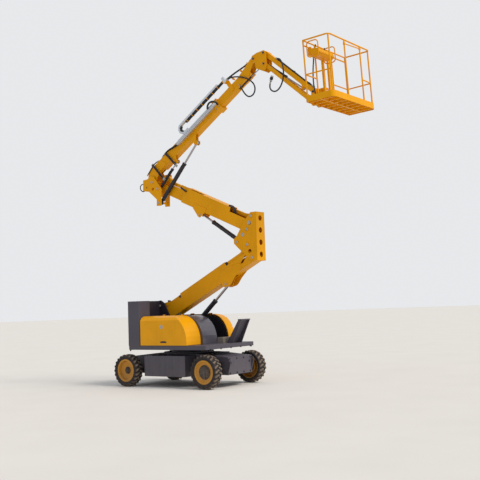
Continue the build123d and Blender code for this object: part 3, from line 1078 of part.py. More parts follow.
def hoops():
    """Two rounded guard loops beside the console, fixed to the two upper back rails."""
    radius = 12.0
    body = None
    for y in (-752.0, -88.0):
        x_in = BACK_LINE + RAIL_RADIUS + radius - 0.1
        x_out = BACK_LINE + 290
        low = RAIL_TOP - 350
        high = RAIL_TOP - 20
        turn = 70.0
        sides = [
            ((x_in, y, low + turn), (x_in, y, high - turn)), ((x_in + turn, y, high), (x_out - turn, y, high)),
            ((x_out, y, high - turn), (x_out, y, low + turn)), ((x_out - turn, y, low), (x_in + turn, y, low)),
        ]
        corners = [(x_in + turn, low + turn, 90), (x_in + turn, high - turn, 180), (x_out - turn, high - turn, 270), (x_out - turn, low + turn, 0)]
        for start, end in sides:
            tube = rod(start, end, radius)
            body = tube if body is None else body + tube
        for cx, cz, angle in corners:
            ring = Pos(turn, 0, 0) * Circle(radius)
            arc = revolve(ring, Axis.Y, 90)
            body += Pos(cx, y, cz) * Rot(0, angle, 0) * arc
    return body


def end_rails(side):
    """Top and middle rail across one end of the platform, from the back rails to the corner post."""
    y = side * END_LINE
    start = BACK_LINE + RAIL_RADIUS + 1.0
    top = rod((start, y, RAIL_TOP), (FRONT_X - CORNER, y, RAIL_TOP), RAIL_RADIUS)
    body = top + bend(FRONT_X - CORNER, side * (SIDE_Y - CORNER), RAIL_TOP, BEND, 0 if side > 0 else -90)
    body += rod((CORNER_POST_X, side * CORNER_POST_Y, POST_FOOT), (CORNER_POST_X, side * CORNER_POST_Y, RAIL_TOP), RAIL_RADIUS + 0.4)
    body += rod((start, y, MID_RAIL), (CORNER_POST_X - 4, side * (CORNER_POST_Y + 8), MID_RAIL), RAIL_RADIUS - 2)
    return body


def front_rails():
    """Top rail with the two gate posts, and a middle rail on the far side of the gate."""
    reach = SIDE_Y - CORNER
    body = rod((FRONT_LINE, -reach + FIT, RAIL_TOP), (FRONT_LINE, reach - FIT, RAIL_TOP), RAIL_RADIUS + 0.4)
    for share in (GATE_FROM, GATE_TO):
        body += rod((FRONT_LINE, across(share), POST_FOOT), (FRONT_LINE, across(share), RAIL_TOP), RAIL_RADIUS)
    body += rod((FRONT_LINE, across(GATE_TO), MID_RAIL), (CORNER_POST_X + 12, CORNER_POST_Y - RAIL_RADIUS - 6, MID_RAIL), RAIL_RADIUS - 2)
    return body


def platform_gate():
    """Sliding entrance bar: a tube between two sleeves on the gate posts, drawn raised."""
    y_from = across(GATE_FROM)
    y_to = across(GATE_TO)
    start = RAIL_TOP - 80
    end = RAIL_TOP - 46
    body = rod((FRONT_LINE, y_from, start), (FRONT_LINE, y_to, end), 12.0)
    for y, z in ((y_from, start), (y_to, end)):
        body += Pos(FRONT_LINE, y, z) * Cylinder(RAIL_RADIUS + 8, 40)
        body -= Pos(FRONT_LINE, y, z) * Cylinder(RAIL_RADIUS + FIT, 60)
    return body


def console():
    """Control console on the inner side of the back rails, open box with a sloping front."""
    x = BACK_LINE + 30
    top = RAIL_TOP - 150
    outline = [(x, top - 150), (x + 205, top - 175), (x + 262, top - 120), (x + 245, top - 45), (x, top)]
    body = plate(outline, -728, -136)
    for y in (-640.0, -240.0):
        body += block(BACK_LINE + RAIL_RADIUS - 0.4 + FIT, x + 16, y, y + 40, top - 20, SECOND_RAIL + 10)
    return body


NODES["platform_floor"] = tilted(platform_floor())
NODES["platform_bracket"] = tilted(platform_bracket())
NODES["rails_back"] = tilted(back_rails())
NODES["console_guards"] = tilted(hoops())
NODES["rails_right"] = tilted(end_rails(-1))
NODES["rails_left"] = tilted(end_rails(1))
NODES["rails_front"] = tilted(front_rails())
NODES["platform_gate"] = tilted(platform_gate())
NODES["control_console"] = tilted(console())


# Hydraulic cylinders
CYLINDERS = [
    # name, base, eye, y, barrel radius, rod radius, barrel length, rod kept inside, bore at the base
    ("lower_lift", LOWER_BASE, LOWER_EYE, BOOM_Y, 52, 28, 1290, 800, 26),
    ("middle_lift", KNUCKLE_CYLINDER, MIDDLE_EYE, BOOM_Y, 46, 24, 930, 620, 26),
    ("main_lift", UPPER_CYLINDER, MAIN_EYE, LIFT_Y, 46, 24, 1150, 800, 26),
    ("master", UPPER_PIVOT, MASTER_EYE, LIFT_Y, 32, 15, 600, 380, PIN_RADIUS),
    ("slave", SLAVE_BASE, YOKE_CYLINDER, BOOM_Y, 28, 13, 640, 390, 18),
    ("jib", JIB_LOWER, JIB_EYE, BOOM_Y, 34, 17, 640, 390, JIB_PIN),
]
for name, base, eye, y, barrel_radius, rod_radius, barrel_length, inside, bore in CYLINDERS:
    barrel, stem = cylinder_pair(base, eye, y, barrel_radius, rod_radius, barrel_length, inside, bore)
    NODES[f"{name}_barrel"] = barrel
    NODES[f"{name}_rod"] = stem

for name, shape in NODES.items():
    export_step(shape, f"parts/{name}.step")
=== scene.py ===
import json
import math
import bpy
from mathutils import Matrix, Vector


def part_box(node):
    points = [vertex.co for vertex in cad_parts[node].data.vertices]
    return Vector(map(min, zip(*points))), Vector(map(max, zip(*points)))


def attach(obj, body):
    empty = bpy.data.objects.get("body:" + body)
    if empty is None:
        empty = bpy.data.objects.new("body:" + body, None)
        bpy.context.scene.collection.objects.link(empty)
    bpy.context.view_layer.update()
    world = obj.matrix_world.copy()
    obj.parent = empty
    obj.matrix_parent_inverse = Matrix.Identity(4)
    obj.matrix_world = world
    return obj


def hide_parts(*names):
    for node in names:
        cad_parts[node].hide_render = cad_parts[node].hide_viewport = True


bl_info = {
    "name": "Boom lift finish",
    "version": (1, 0, 0),
    "blender": (4, 5, 0),
    "location": "View3D > Sidebar > Boom lift",
    "description": "Dresses the packed boom lift: paint, tyres, drag chain, hoses, fasteners and studio",
    "category": "Object",
}

import bmesh
import bpy
from bpy.props import FloatProperty, FloatVectorProperty, IntProperty, PointerProperty
from mathutils import Matrix, Vector

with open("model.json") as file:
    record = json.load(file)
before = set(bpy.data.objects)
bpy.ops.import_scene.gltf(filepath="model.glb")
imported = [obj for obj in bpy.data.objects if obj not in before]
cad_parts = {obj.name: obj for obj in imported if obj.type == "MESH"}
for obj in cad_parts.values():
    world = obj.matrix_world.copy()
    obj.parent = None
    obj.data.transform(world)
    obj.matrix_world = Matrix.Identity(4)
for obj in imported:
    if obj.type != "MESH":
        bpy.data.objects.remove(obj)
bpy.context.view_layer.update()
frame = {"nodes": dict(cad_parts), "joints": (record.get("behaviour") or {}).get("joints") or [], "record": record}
NODES = frame["nodes"]
JOINTS = {joint["name"]: joint for joint in frame["joints"]}
SLOT_OF = {part["node"]: part["material_slot"] for part in frame["record"]["subparts"]}
ALONG_X = Vector((1, 0, 0))
ALONG_Y = Vector((0, 1, 0))
# Signs of both sides, ends or faces
BOTH = (-1, 1)


# Places and lines taken from the frame's joints
def pivot(name):
    """Point of a hinge, at rest."""
    return Vector(JOINTS[name]["pos_m"])


def joint_axis(name):
    return Vector(JOINTS[name]["axis"])


class BoomLine:
    """A line in the boom plane: u runs along it, n rises square to it, y is absolute."""

    def __init__(self, start, end):
        self.start = start
        self.along = Vector((end.x - start.x, 0, end.z - start.z)).normalized()
        self.rise = Vector((-self.along.z, 0, self.along.x))

    def at(self, u, n, y):
        spot = self.start + self.along * u + self.rise * n
        return Vector((spot.x, y, spot.z))


BOOM_Y = pivot("lower_lift").y
LOWER = BoomLine(pivot("lower_lift"), pivot("mid_knuckle_level"))
MIDDLE = BoomLine(pivot("upper_knuckle_level"), pivot("middle_lift"))
MAIN = BoomLine(pivot("main_lift"), pivot("main_lift") + joint_axis("telescope"))
JIB = BoomLine(pivot("jib_lift"), pivot("mount_level"))
PLATFORM_UP = joint_axis("platform_turn")
PLATFORM_OUT = Vector((PLATFORM_UP.z, 0, -PLATFORM_UP.x))


def platform_at(x, y, z):
    """Point in the platform's own tilted frame, measured from the middle of its turning pin."""
    return pivot("platform_turn") + PLATFORM_OUT * x + PLATFORM_UP * z + ALONG_Y * y


def both_faces(place, reach):
    """Seats on both faces of a boom, each with the direction away from the boom plane."""
    return [(Vector((place.x, BOOM_Y + side * reach, place.z)), ALONG_Y * side) for side in BOTH]


# Settings that a user may change
def colour_setting(name, description, default):
    return FloatVectorProperty(name=name, description=description, subtype="COLOR", size=3, default=default)


class LiftColours(bpy.types.PropertyGroup):
    """Paint and rubber colours, as linear values."""

    yellow: colour_setting("Yellow paint", "Paint of the booms and platform", (0.80, 0.350, 0.001))
    hood: colour_setting("Hood yellow", "Moulded hoods", (0.82, 0.365, 0.001))
    grey: colour_setting("Grey paint", "Paint of the chassis and counterweight", (0.072, 0.066, 0.088))
    pale_grey: colour_setting("Pale grey paint", "Paint of the low box", (0.25, 0.22, 0.19))
    black: colour_setting("Black paint", "Paint of barrels and brackets", (0.016, 0.014, 0.019))
    rubber: colour_setting("Tyre rubber", "Rubber of the tyres", (0.016, 0.014, 0.017))
    dust: colour_setting("Dust", "Dust on the low parts and the tread", (0.24, 0.19, 0.15))


class LiftSizes(bpy.types.PropertyGroup):
    """Sizes of the pieces that the script adds."""

    lug_count: IntProperty(
        name="Lugs a side", description="Tread lugs on each shoulder of a tyre", default=22, min=8, max=40)
    bolt_head: FloatProperty(
        name="Bolt head", description="Width across a bolt head", default=0.024, unit="LENGTH")
    hose: FloatProperty(name="Hose", description="Radius of a hanging hose", default=0.016, unit="LENGTH")
    link_pitch: FloatProperty(
        name="Chain pitch", description="Length of one drag chain link", default=0.075, unit="LENGTH")
    clip_pitch: FloatProperty(
        name="Clip pitch", description="Distance between the hose clips", default=0.165, unit="LENGTH")


class LiftStudio(bpy.types.PropertyGroup):
    """Floor, lamps and camera."""

    floor: colour_setting("Floor", "Colour of the studio floor", (0.72, 0.70, 0.67))
    backdrop: colour_setting("Backdrop", "Colour behind the object", (0.80, 0.81, 0.83))
    key: FloatProperty(name="Key light", description="Strength of the soft key lamp", default=2.3)
    fill: FloatProperty(name="Fill light", description="Strength of the even sky light", default=0.60)
    lens: FloatProperty(name="Lens", description="Focal length on a 36 mm sensor", default=63.752)
    shift: FloatProperty(
        name="Vertical shift", description="Camera shift that frames the photograph's crop", default=-0.05425)


# Node helpers
def feed(node, inputs):
    """Fills a node's inputs: a socket is linked, and anything else is the input's own value."""
    for key, value in inputs.items():
        if isinstance(value, bpy.types.NodeSocket):
            node.id_data.links.new(value, node.inputs[key])
        else:
            node.inputs[key].default_value = value


def add_node(tree, kind, inputs=None, **settings):
    """Makes a node with its settings and inputs, and gives back its outputs."""
    node = tree.nodes.new(kind)
    for name, value in settings.items():
        setattr(node, name, value)
    feed(node, inputs or {})
    return node.outputs


def new_group(name, kind, inputs, outputs):
    """An empty node group with its named sockets, the outputs of its first node, and its last node."""
    tree = bpy.data.node_groups.new(name, kind)
    for way, rows in (("INPUT", inputs), ("OUTPUT", outputs)):
        for label, sort, *default in rows:
            socket = tree.interface.new_socket(name=label, in_out=way, socket_type=f"NodeSocket{sort}")
            if default:
                socket.default_value = default[0]
    return tree, add_node(tree, "NodeGroupInput"), tree.nodes.new("NodeGroupOutput")


def math_node(tree, kind, first, second, clamp=False):
    return add_node(tree, "ShaderNodeMath", {0: first, 1: second}, operation=kind, use_clamp=clamp)[0]


def noise_node(tree, vector, scale, detail):
    return add_node(tree, "ShaderNodeTexNoise", {"Vector": vector, "Scale": scale, "Detail": detail})["Fac"]


def range_node(tree, value, low, high, to_low, to_high):
    return add_node(tree, "ShaderNodeMapRange", {
        "Value": value, "From Min": low, "From Max": high, "To Min": to_low, "To Max": to_high})["Result"]


def mix_node(tree, factor, first, second):
    return add_node(tree, "ShaderNodeMix", {0: factor, 6: first, 7: second}, data_type="RGBA")[2]


# Skins and floor: scale and detail of each noise, the stretch that makes rain marks, depth of the ripple
BROAD_NOISE, FINE_NOISE, STREAK_NOISE = (2.3, 5), (38, 4), (1.0, 3)
GRAIN_NOISE, FLOOR_NOISE = (24, 5), (0.8, 6)
RAIN_STRETCH = (16, 16, 1.4)
RIPPLE_DEPTH = 0.0015
# Finishes: colour or the name of its setting, slot in the record, roughness, dust, height that the dust
# reaches, and what differs from the usual. A CAD node gets the first finish of its slot.
FINISHES = {
    "Boom yellow": ("yellow", "yellow_paint", 0.40, 0.03, 2.5, {"gloss": 0.12}),
    "Hood yellow": ("hood", "yellow_cover", 0.30, 0.04, 1.6, {"gloss": 0.18, "edge": 0.012}),
    "Wheel yellow": ((0.60, 0.27, 0.018), "wheel_paint", 0.5, 0.30, 1.0, {"drift": 0.10, "gloss": 0.3}),
    "Chassis grey": ("grey", "grey_paint", 0.45, 0.16, 1.0, {"gloss": 0.35, "edge": 0.006}),
    "Cover grey": ("grey", "grey_cover", 0.22, 0.05, 1.6, {"gloss": 0.7, "edge": 0.010}),
    "Pale grey": ("pale_grey", "light_grey_paint", 0.45, 0.12, 1.4, {"gloss": 0.3}),
    "Black enamel": ("black", "black_paint", 0.36, 0.06, 1.4, {"gloss": 0.4}),
    "Tower black": ((0.030, 0.024, 0.036), "black_paint", 0.42, 0.05, 1.6, {"gloss": 0.35}),
    "Rod chrome": ((0.40, 0.39, 0.41), "chrome", 0.20, 0.03, 3.0, {
        "drift": 0.02, "metal": 1.0, "bump": 0.02}),
    "Tyre rubber": ("rubber", "tyre", 0.62, 0.10, 0.9, {"drift": 0.12, "gloss": 0.3, "bump": 0.4}),
    "Tread rubber": ("rubber", "tyre", 0.80, 0.18, 1.3, {
        "drift": 0.18, "gloss": 0.2, "bump": 0.6, "worn": (0.225, 0.172, 0.132)}),
    "Hose rubber": ((0.014, 0.013, 0.016), "hose_rubber", 0.5, 0.03, 0.8, {
        "drift": 0.1, "gloss": 0.35, "bump": 0.3}),
    "Tray metal": ((0.58, 0.62, 0.67), "tray_metal", 0.36, 0.03, 5.0, {"metal": 0.45}),
    "Zinc": ((0.40, 0.385, 0.36), "tray_metal", 0.42, 0.06, 2.0, {"metal": 0.85}),
    "Moulded black": ((0.02, 0.019, 0.022), "dark_plastic", 0.6, 0.06, 2.0, {"gloss": 0.3, "bump": 0.4}),
    "Hub paint": ((0.040, 0.031, 0.030), "black_paint", 0.6, 0.55, 1.0, {"drift": 0.25, "gloss": 0.25}),
    "Signal red": ((0.52, 0.02, 0.015), "dark_plastic", 0.35, 0.02, 0.8, {"gloss": 0.4}),
}


def weathering_group():
    """Colour drift, dust that gathers low and in streaks, rain marks and a fine ripple for any skin."""
    tree, source, sink = new_group("Weathering", "ShaderNodeTree", (
        ("Color", "Color", (0.8, 0.8, 0.8, 1)), ("Dust Color", "Color", (0.3, 0.25, 0.2, 1)),
        ("Dust", "Float", 0.2), ("Dust Top", "Float", 0.8), ("Drift", "Float", 0.10),
        ("Roughness", "Float", 0.4),
    ), (("Color", "Color"), ("Roughness", "Float"), ("Height", "Float")))
    place = add_node(tree, "ShaderNodeTexCoord")["Object"]
    level = add_node(tree, "ShaderNodeSeparateXYZ", {0: place})["Z"]
    stretched = add_node(tree, "ShaderNodeMapping", {0: place, "Scale": RAIN_STRETCH})[0]
    broad = noise_node(tree, place, *BROAD_NOISE)
    fine = noise_node(tree, place, *FINE_NOISE)
    streak = noise_node(tree, stretched, *STREAK_NOISE)
    # brightness drift, with faint vertical rain marks
    low = math_node(tree, "SUBTRACT", 1.0, source["Drift"])
    high = math_node(tree, "ADD", 1.0, source["Drift"])
    shade = range_node(tree, broad, 0.3, 0.7, low, high)
    rain = range_node(tree, streak, 0.35, 0.65, 0.985, 1.015)
    scale = math_node(tree, "MULTIPLY", shade, rain)
    tint = add_node(tree, "ShaderNodeVectorMath", {0: source["Color"], "Scale": scale}, operation="SCALE")[0]
    # dust below a height, broken up by streaks and fine noise
    height = math_node(tree, "DIVIDE", level, source["Dust Top"], True)
    below = math_node(tree, "SUBTRACT", 1.0, height)
    spread = range_node(tree, math_node(tree, "MULTIPLY", streak, fine), 0.14, 0.38, 0.25, 1.6)
    amount = math_node(tree, "MULTIPLY", spread, source["Dust"])
    mask = math_node(tree, "MULTIPLY", amount, below, True)
    # roughness rises with dust and wavers with the broad noise
    waver = range_node(tree, broad, 0.0, 1.0, -0.06, 0.08)
    rough = math_node(tree, "ADD", source["Roughness"], waver)
    dusty = math_node(tree, "MULTIPLY", mask, 0.5)
    feed(sink, {
        "Color": mix_node(tree, mask, tint, source["Dust Color"]),
        "Roughness": math_node(tree, "ADD", rough, dusty, True),
        "Height": fine,
    })
    return tree


def coat_material(name, colour, dust_colour, rough, dust, dust_top, drift=0.06, metal=0.0, gloss=0.5,
                  bump=0.15, edge=0.004, worn=None):
    """Painted, moulded or bare skin: the weathering group on a principled surface with softened edges."""
    material = bpy.data.materials.new(name)
    material.use_nodes = True
    tree = material.node_tree
    wear = add_node(tree, "ShaderNodeGroup", {
        "Color": (*colour, 1), "Dust Color": (*dust_colour, 1), "Dust": dust, "Dust Top": dust_top,
        "Drift": drift, "Roughness": rough,
    }, node_tree=bpy.data.node_groups.get("Weathering") or weathering_group())
    soften = add_node(tree, "ShaderNodeBevel", {"Radius": edge}, samples=4)
    ripple = add_node(tree, "ShaderNodeBump", {
        "Strength": bump, "Distance": RIPPLE_DEPTH, "Height": wear["Height"], "Normal": soften["Normal"]})
    skin = wear["Color"]
    if worn:
        # the mesh says, by its own attribute, where the ground has left dust
        mark = add_node(tree, "ShaderNodeAttribute", attribute_name="ground_dust")["Fac"]
        place = add_node(tree, "ShaderNodeTexCoord")["Object"]
        grain = range_node(tree, noise_node(tree, place, *GRAIN_NOISE), 0.38, 0.62, 0.35, 1.15)
        skin = mix_node(tree, math_node(tree, "MULTIPLY", mark, grain, True), skin, (*worn, 1))
    feed(tree.nodes["Principled BSDF"], {
        "Metallic": metal, "Specular IOR Level": gloss, "Base Color": skin, "Roughness": wear["Roughness"],
        "Normal": ripple["Normal"],
    })


def paint(name):
    return bpy.data.materials[name]


# Mesh helpers
SHARP_ANGLE, BEVEL_ANGLE = math.radians(38), math.radians(40)
SOFT_EDGE = 0.003
POLE = 1e-6


def new_object(name, data):
    thing = bpy.data.objects.new(name, data)
    bpy.context.scene.collection.objects.link(thing)
    return thing


def evaluated_mesh(thing):
    """The mesh of an object with its modifiers, or of a curve with its bevel."""
    bpy.context.view_layer.update()
    return bpy.data.meshes.new_from_object(thing.evaluated_get(bpy.context.evaluated_depsgraph_get()))


def mesh_object(name, bm, material, smooth=True):
    """Turns a bmesh into an object with outward normals and one material."""
    bmesh.ops.remove_doubles(bm, verts=bm.verts, dist=POLE)
    bmesh.ops.recalc_face_normals(bm, faces=bm.faces)
    mesh = bpy.data.meshes.new(name)
    bm.to_mesh(mesh)
    bm.free()
    mesh.materials.append(paint(material))
    if smooth:
        mesh.shade_smooth()
        mesh.set_sharp_from_angle(angle=SHARP_ANGLE)
    return new_object(name, mesh)


def finish_mesh(thing, body, replaces=()):
    """Replaces an object's mesh by its evaluated one, clears modifiers, and seats it on a body."""
    mesh = evaluated_mesh(thing)
    mesh.name = thing.name
    thing.modifiers.clear()
    thing.data = mesh
    if replaces:
        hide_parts(*replaces)
    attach(thing, body)
    return thing


def add_piece(name, bm, material, body, smooth=True, edge=None, replaces=()):
    """Makes a piece of a bmesh; its one material slot holds the given finish."""
    thing = mesh_object(name, bm, material, smooth)
    if edge:
        bevel = thing.modifiers.new("Edges", "BEVEL")
        bevel.width = edge
        bevel.segments = 2
        bevel.limit_method = "ANGLE"
        bevel.angle_limit = BEVEL_ANGLE
        bevel.harden_normals = False
    return finish_mesh(thing, body, replaces)


def add_ring(bm, centre, axis, profile, segments):
    """Revolves (radius, along) pairs about an axis; a closed profile gives a closed body."""
    way = Vector(axis).normalized()
    first = way.orthogonal().normalized()
    second = way.cross(first)
    loops = []
    for radius, along in profile:
        if radius < POLE:
            loops.append([bm.verts.new(centre + way * along)])
            continue
        loop = []
        for step in range(segments):
            angle = 2 * math.pi * step / segments
            arm = (first * math.cos(angle) + second * math.sin(angle)) * radius
            loop.append(bm.verts.new(centre + way * along + arm))
        loops.append(loop)
    for one, two in zip(loops, loops[1:] + loops[:1]):
        if len(one) == 1 and len(two) == 1:
            continue
        for step in range(segments):
            after = (step + 1) % segments
            corners = []
            for loop, spots in ((one, (step, after)), (two, (after, step))):
                corners += [loop[0]] if len(loop) == 1 else [loop[spot] for spot in spots]
            bm.faces.new(corners)


def rings(name, seats, profile, segments, material, body, replaces=()):
    """One piece of like rings; each seat is a centre and the direction of its axis."""
    bm = bmesh.new()
    for centre, axis in seats:
        add_ring(bm, centre, axis, profile, segments)
    return add_piece(name, bm, material, body, replaces=replaces)


def add_prism(bm, near, far):
    """Closed body between two outlines of as many points."""
    near = [bm.verts.new(spot) for spot in near]
    far = [bm.verts.new(spot) for spot in far]
    bm.faces.new(near)
    bm.faces.new(far[::-1])
    for step in range(len(near)):
        after = (step + 1) % len(near)
        bm.faces.new((near[step], near[after], far[after], far[step]))


def add_box(bm, low, high, turn=None):
    """Box between two corners; turn is a function that maps each corner to its real place."""
    corners = []
    for x in (low[0], high[0]):
        for y in (low[1], high[1]):
            for z in (low[2], high[2]):
                spot = Vector((x, y, z))
                corners.append(bm.verts.new(turn(spot) if turn else spot))
    for face in ((0, 1, 3, 2), (4, 6, 7, 5), (0, 4, 5, 1), (2, 3, 7, 6), (0, 2, 6, 4), (1, 5, 7, 3)):
        bm.faces.new([corners[index] for index in face])


def boom_boxes(name, line, rows, material, body, edge=SOFT_EDGE):
    """One piece of boxes in a boom's own directions: u from and to, n from and to, y from and to."""
    def turn(spot):
        return line.at(spot.x, spot.z, spot.y)

    bm = bmesh.new()
    for u_from, u_to, n_from, n_to, y_from, y_to in rows:
        add_box(bm, (u_from, y_from, n_from), (u_to, y_to, n_to), turn)
    add_piece(name, bm, material, body, smooth=False, edge=edge)


def add_bar(bm, start, end, radius, segments):
    """Round bar with slightly drawn-in ends."""
    length = (end - start).length
    lip = min(radius * 0.25, length * 0.2)
    add_ring(bm, start, end - start, [
        (0, 0), (radius - lip, 0), (radius, lip), (radius, length - lip), (radius - lip, length), (0, length),
    ], segments)


def spoke(turn, radius):
    """Arm of a circle in the side view."""
    return Vector((math.cos(turn), 0, math.sin(turn))) * radius


# Profiles of round pieces, as (radius, along) pairs
def dish(inner, rise, rim, outer, floor, top, shoulder, back):
    """Cap with a sunk middle: its four radii, then its four levels."""
    return (0, floor), (inner, floor), (rise, top), (rim, top), (outer, shoulder), (outer, back), (0, back)


def button(face, outer, top, shoulder, back):
    """Plain cap with a chamfer."""
    return (0, top), (face, top), (outer, shoulder), (outer, back), (0, back)


def collar(inner, outer, half):
    """Band: its two radii and half its width."""
    return (inner, -half), (outer, -half), (outer, half), (inner, half)


# Hoses
def hose_line(name, spots, resolution):
    """Object of one smooth spline, whose control points are the spots."""
    curve = bpy.data.curves.new(name, "CURVE")
    curve.dimensions = "3D"
    spline = curve.splines.new("NURBS")
    spline.points.add(len(spots) - 1)
    for point, spot in zip(spline.points, spots):
        point.co = (*spot, 1)
    spline.order_u = 3
    spline.use_endpoint_u = True
    spline.resolution_u = resolution
    return new_object(name, curve)


def fatten(curve, radius, sides):
    curve.bevel_depth = radius
    curve.bevel_resolution = sides
    curve.use_fill_caps = True


def hose_ends(spots):
    """Both tips of a hose, each with the direction that leads into it."""
    pairs = ((spots[0], spots[1]), (spots[-1], spots[-2]))
    return [(tip, (inner - tip).normalized()) for tip, inner in pairs]


def hoses(name, routes, radius, body, fittings=True):
    """Hoses of one body, with a crimped fitting at each end unless they stay bare."""
    bm = bmesh.new()
    for route in routes:
        line = hose_line(name, route, resolution=8)
        curve = line.data
        fatten(curve, radius, sides=3)
        mesh = evaluated_mesh(line)
        bpy.data.objects.remove(line)
        bpy.data.curves.remove(curve)
        bm.from_mesh(mesh)
        bpy.data.meshes.remove(mesh)
    thing = add_piece(name, bm, "Hose rubber", body)
    if fittings:
        wide, step = radius * 1.35, radius
        rings(f"{name}_fittings", [end for route in routes for end in hose_ends(route)], [
            (0, -step), (wide * 0.8, -step), (wide * 0.8, step), (wide, step * 1.3), (wide, step * 3.4),
            (wide * 0.9, step * 3.8), (0, step * 3.8),
        ], 12, "Zinc", body)
    return thing


def loose_hose(name, line, points, radius, body):
    """A hanging hose as a bevelled curve of one spline."""
    spots = [line.at(*point) for point in points]
    thing = hose_line(name, spots, resolution=12)
    bare = evaluated_mesh(thing)
    bpy.data.meshes.remove(bare)
    fatten(thing.data, radius, sides=4)
    thing.data.materials.append(paint("Hose rubber"))
    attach(thing, body)


# Geometry Nodes trees
def geometry_group(name, *sockets):
    """A group that takes in geometry, its own sockets and a material, and gives geometry back."""
    shape = ("Geometry", "Geometry")
    return new_group(name, "GeometryNodeTree", (shape, *sockets, ("Material", "Material")), (shape,))


def copy_to(tree, points, piece, turn):
    return add_node(tree, "GeometryNodeInstanceOnPoints", {
        "Points": points, "Instance": piece, "Rotation": turn})[0]


def close_group(tree, geometry, source, sink):
    """Ends a tree in Realize Instances and Set Material."""
    real = add_node(tree, "GeometryNodeRealizeInstances", {0: geometry})[0]
    dressed = add_node(tree, "GeometryNodeSetMaterial", {"Geometry": real, "Material": source["Material"]})
    feed(sink, {0: dressed[0]})
    return tree


def axle_group():
    """Copies of the incoming mesh, turned round the Y axis and moved to a centre."""
    tree, source, sink = geometry_group(
        "Copies round an axle", ("Count", "Int", 12), ("Phase", "Float", 0.0), ("Centre", "Vector"))
    points = add_node(tree, "GeometryNodePoints", {"Count": source["Count"]})[0]
    index = add_node(tree, "GeometryNodeInputIndex")[0]
    step = math_node(tree, "DIVIDE", 2 * math.pi, source["Count"])
    turn = math_node(tree, "ADD", math_node(tree, "MULTIPLY", index, step), source["Phase"])
    angle = add_node(tree, "ShaderNodeCombineXYZ", {"Y": turn})[0]
    copies = copy_to(tree, points, source["Geometry"], angle)
    moved = add_node(tree, "GeometryNodeTransform", {"Geometry": copies, "Translation": source["Centre"]})
    return close_group(tree, moved[0], source, sink)


def path_group():
    """Copies of one piece along a line in a side view, each with its X axis along the line."""
    tree, source, sink = geometry_group("Pieces along a path", ("Piece", "Object"), ("Spacing", "Float", 0.1))
    curve = add_node(tree, "GeometryNodeMeshToCurve", {0: source["Geometry"]})[0]
    points = add_node(
        tree, "GeometryNodeCurveToPoints", {"Curve": curve, "Length": source["Spacing"]}, mode="LENGTH")
    piece = add_node(tree, "GeometryNodeObjectInfo", {"Object": source["Piece"]})["Geometry"]
    turn = add_node(
        tree, "FunctionNodeAlignRotationToVector", {"Vector": points["Tangent"]}, axis="X", pivot_axis="Y")[0]
    return close_group(tree, copy_to(tree, points["Points"], piece, turn), source, sink)


# Discs of a bolt: how many sides, and its radius, depth and lift as shares of the head's width
WASHER, HEXAGON = (18, 0.82, 0.14, 0.07), (6, 0.56, 0.5, 0.36)


def bolt_group():
    """A washer and hexagon head on every point of the mesh, standing along the point's own direction."""
    tree, source, sink = geometry_group("Bolts on points", ("Head", "Float", 0.024))
    parts = tree.nodes.new("GeometryNodeJoinGeometry")
    for sides, *shares in (WASHER, HEXAGON):
        radius, depth, lift = (math_node(tree, "MULTIPLY", source["Head"], share) for share in shares)
        disc = add_node(tree, "GeometryNodeMeshCylinder", {
            "Vertices": sides, "Radius": radius, "Depth": depth})["Mesh"]
        up = add_node(tree, "ShaderNodeCombineXYZ", {"Z": lift})[0]
        feed(parts, {0: add_node(tree, "GeometryNodeTransform", {"Geometry": disc, "Translation": up})[0]})
    way = add_node(
        tree, "GeometryNodeInputNamedAttribute", {"Name": "way"}, data_type="FLOAT_VECTOR")["Attribute"]
    turn = add_node(tree, "FunctionNodeAlignRotationToVector", {"Vector": way}, axis="Z")[0]
    return close_group(tree, copy_to(tree, source["Geometry"], parts.outputs[0], turn), source, sink)


def grow(thing, tree_name, maker, **values):
    """Adds a geometry tree to an object and sets its inputs by their identifiers."""
    modifier = thing.modifiers.new(tree_name, "NODES")
    modifier.node_group = bpy.data.node_groups.get(tree_name) or maker()
    for item in modifier.node_group.interface.items_tree:
        if item.item_type == "SOCKET" and item.in_out == "INPUT" and item.name.lower() in values:
            modifier[item.identifier] = values[item.name.lower()]


def bolts(name, spots, body, head, material="Zinc"):
    """Bolt heads of one body; each spot is a seat and the direction that its head points to."""
    mesh = bpy.data.meshes.new(name)
    mesh.from_pydata([tuple(seat) for seat, _ in spots], [], [])
    ways = mesh.attributes.new("way", "FLOAT_VECTOR", "POINT")
    for item, (_, way) in zip(ways.data, spots):
        item.vector = way
    thing = new_object(name, mesh)
    grow(thing, "Bolts on points", bolt_group, head=head, material=paint(material))
    finish_mesh(thing, body)


def along_path(name, piece, points, spacing, material, body):
    """Copies of a piece along straight runs between points."""
    mesh = bpy.data.meshes.new(name)
    runs = [(step, step + 1) for step in range(len(points) - 1)]
    mesh.from_pydata([tuple(spot) for spot in points], runs, [])
    thing = new_object(name, mesh)
    grow(thing, "Pieces along a path", path_group, piece=piece, spacing=spacing, material=paint(material))
    finish_mesh(thing, body)
    bpy.data.objects.remove(piece)


class LIFT_OT_finishes(bpy.types.Operator):
    """Make the materials and give every CAD node its finish"""

    bl_idname = "lift.finishes"
    bl_label = "Finishes"

    def execute(self, context):
        colours = context.scene.lift_colours
        usual = {}
        for name, (colour, slot, rough, dust, dust_top, rest) in FINISHES.items():
            usual.setdefault(slot, name)
            shade = getattr(colours, colour) if isinstance(colour, str) else colour
            coat_material(name, shade, colours.dust, rough, dust, dust_top, **rest)
        for name, node in NODES.items():
            node.data.materials.clear()
            node.data.materials.append(paint("Tower black" if name == "boom_tower" else usual[SLOT_OF[name]]))
        return {"FINISHED"}


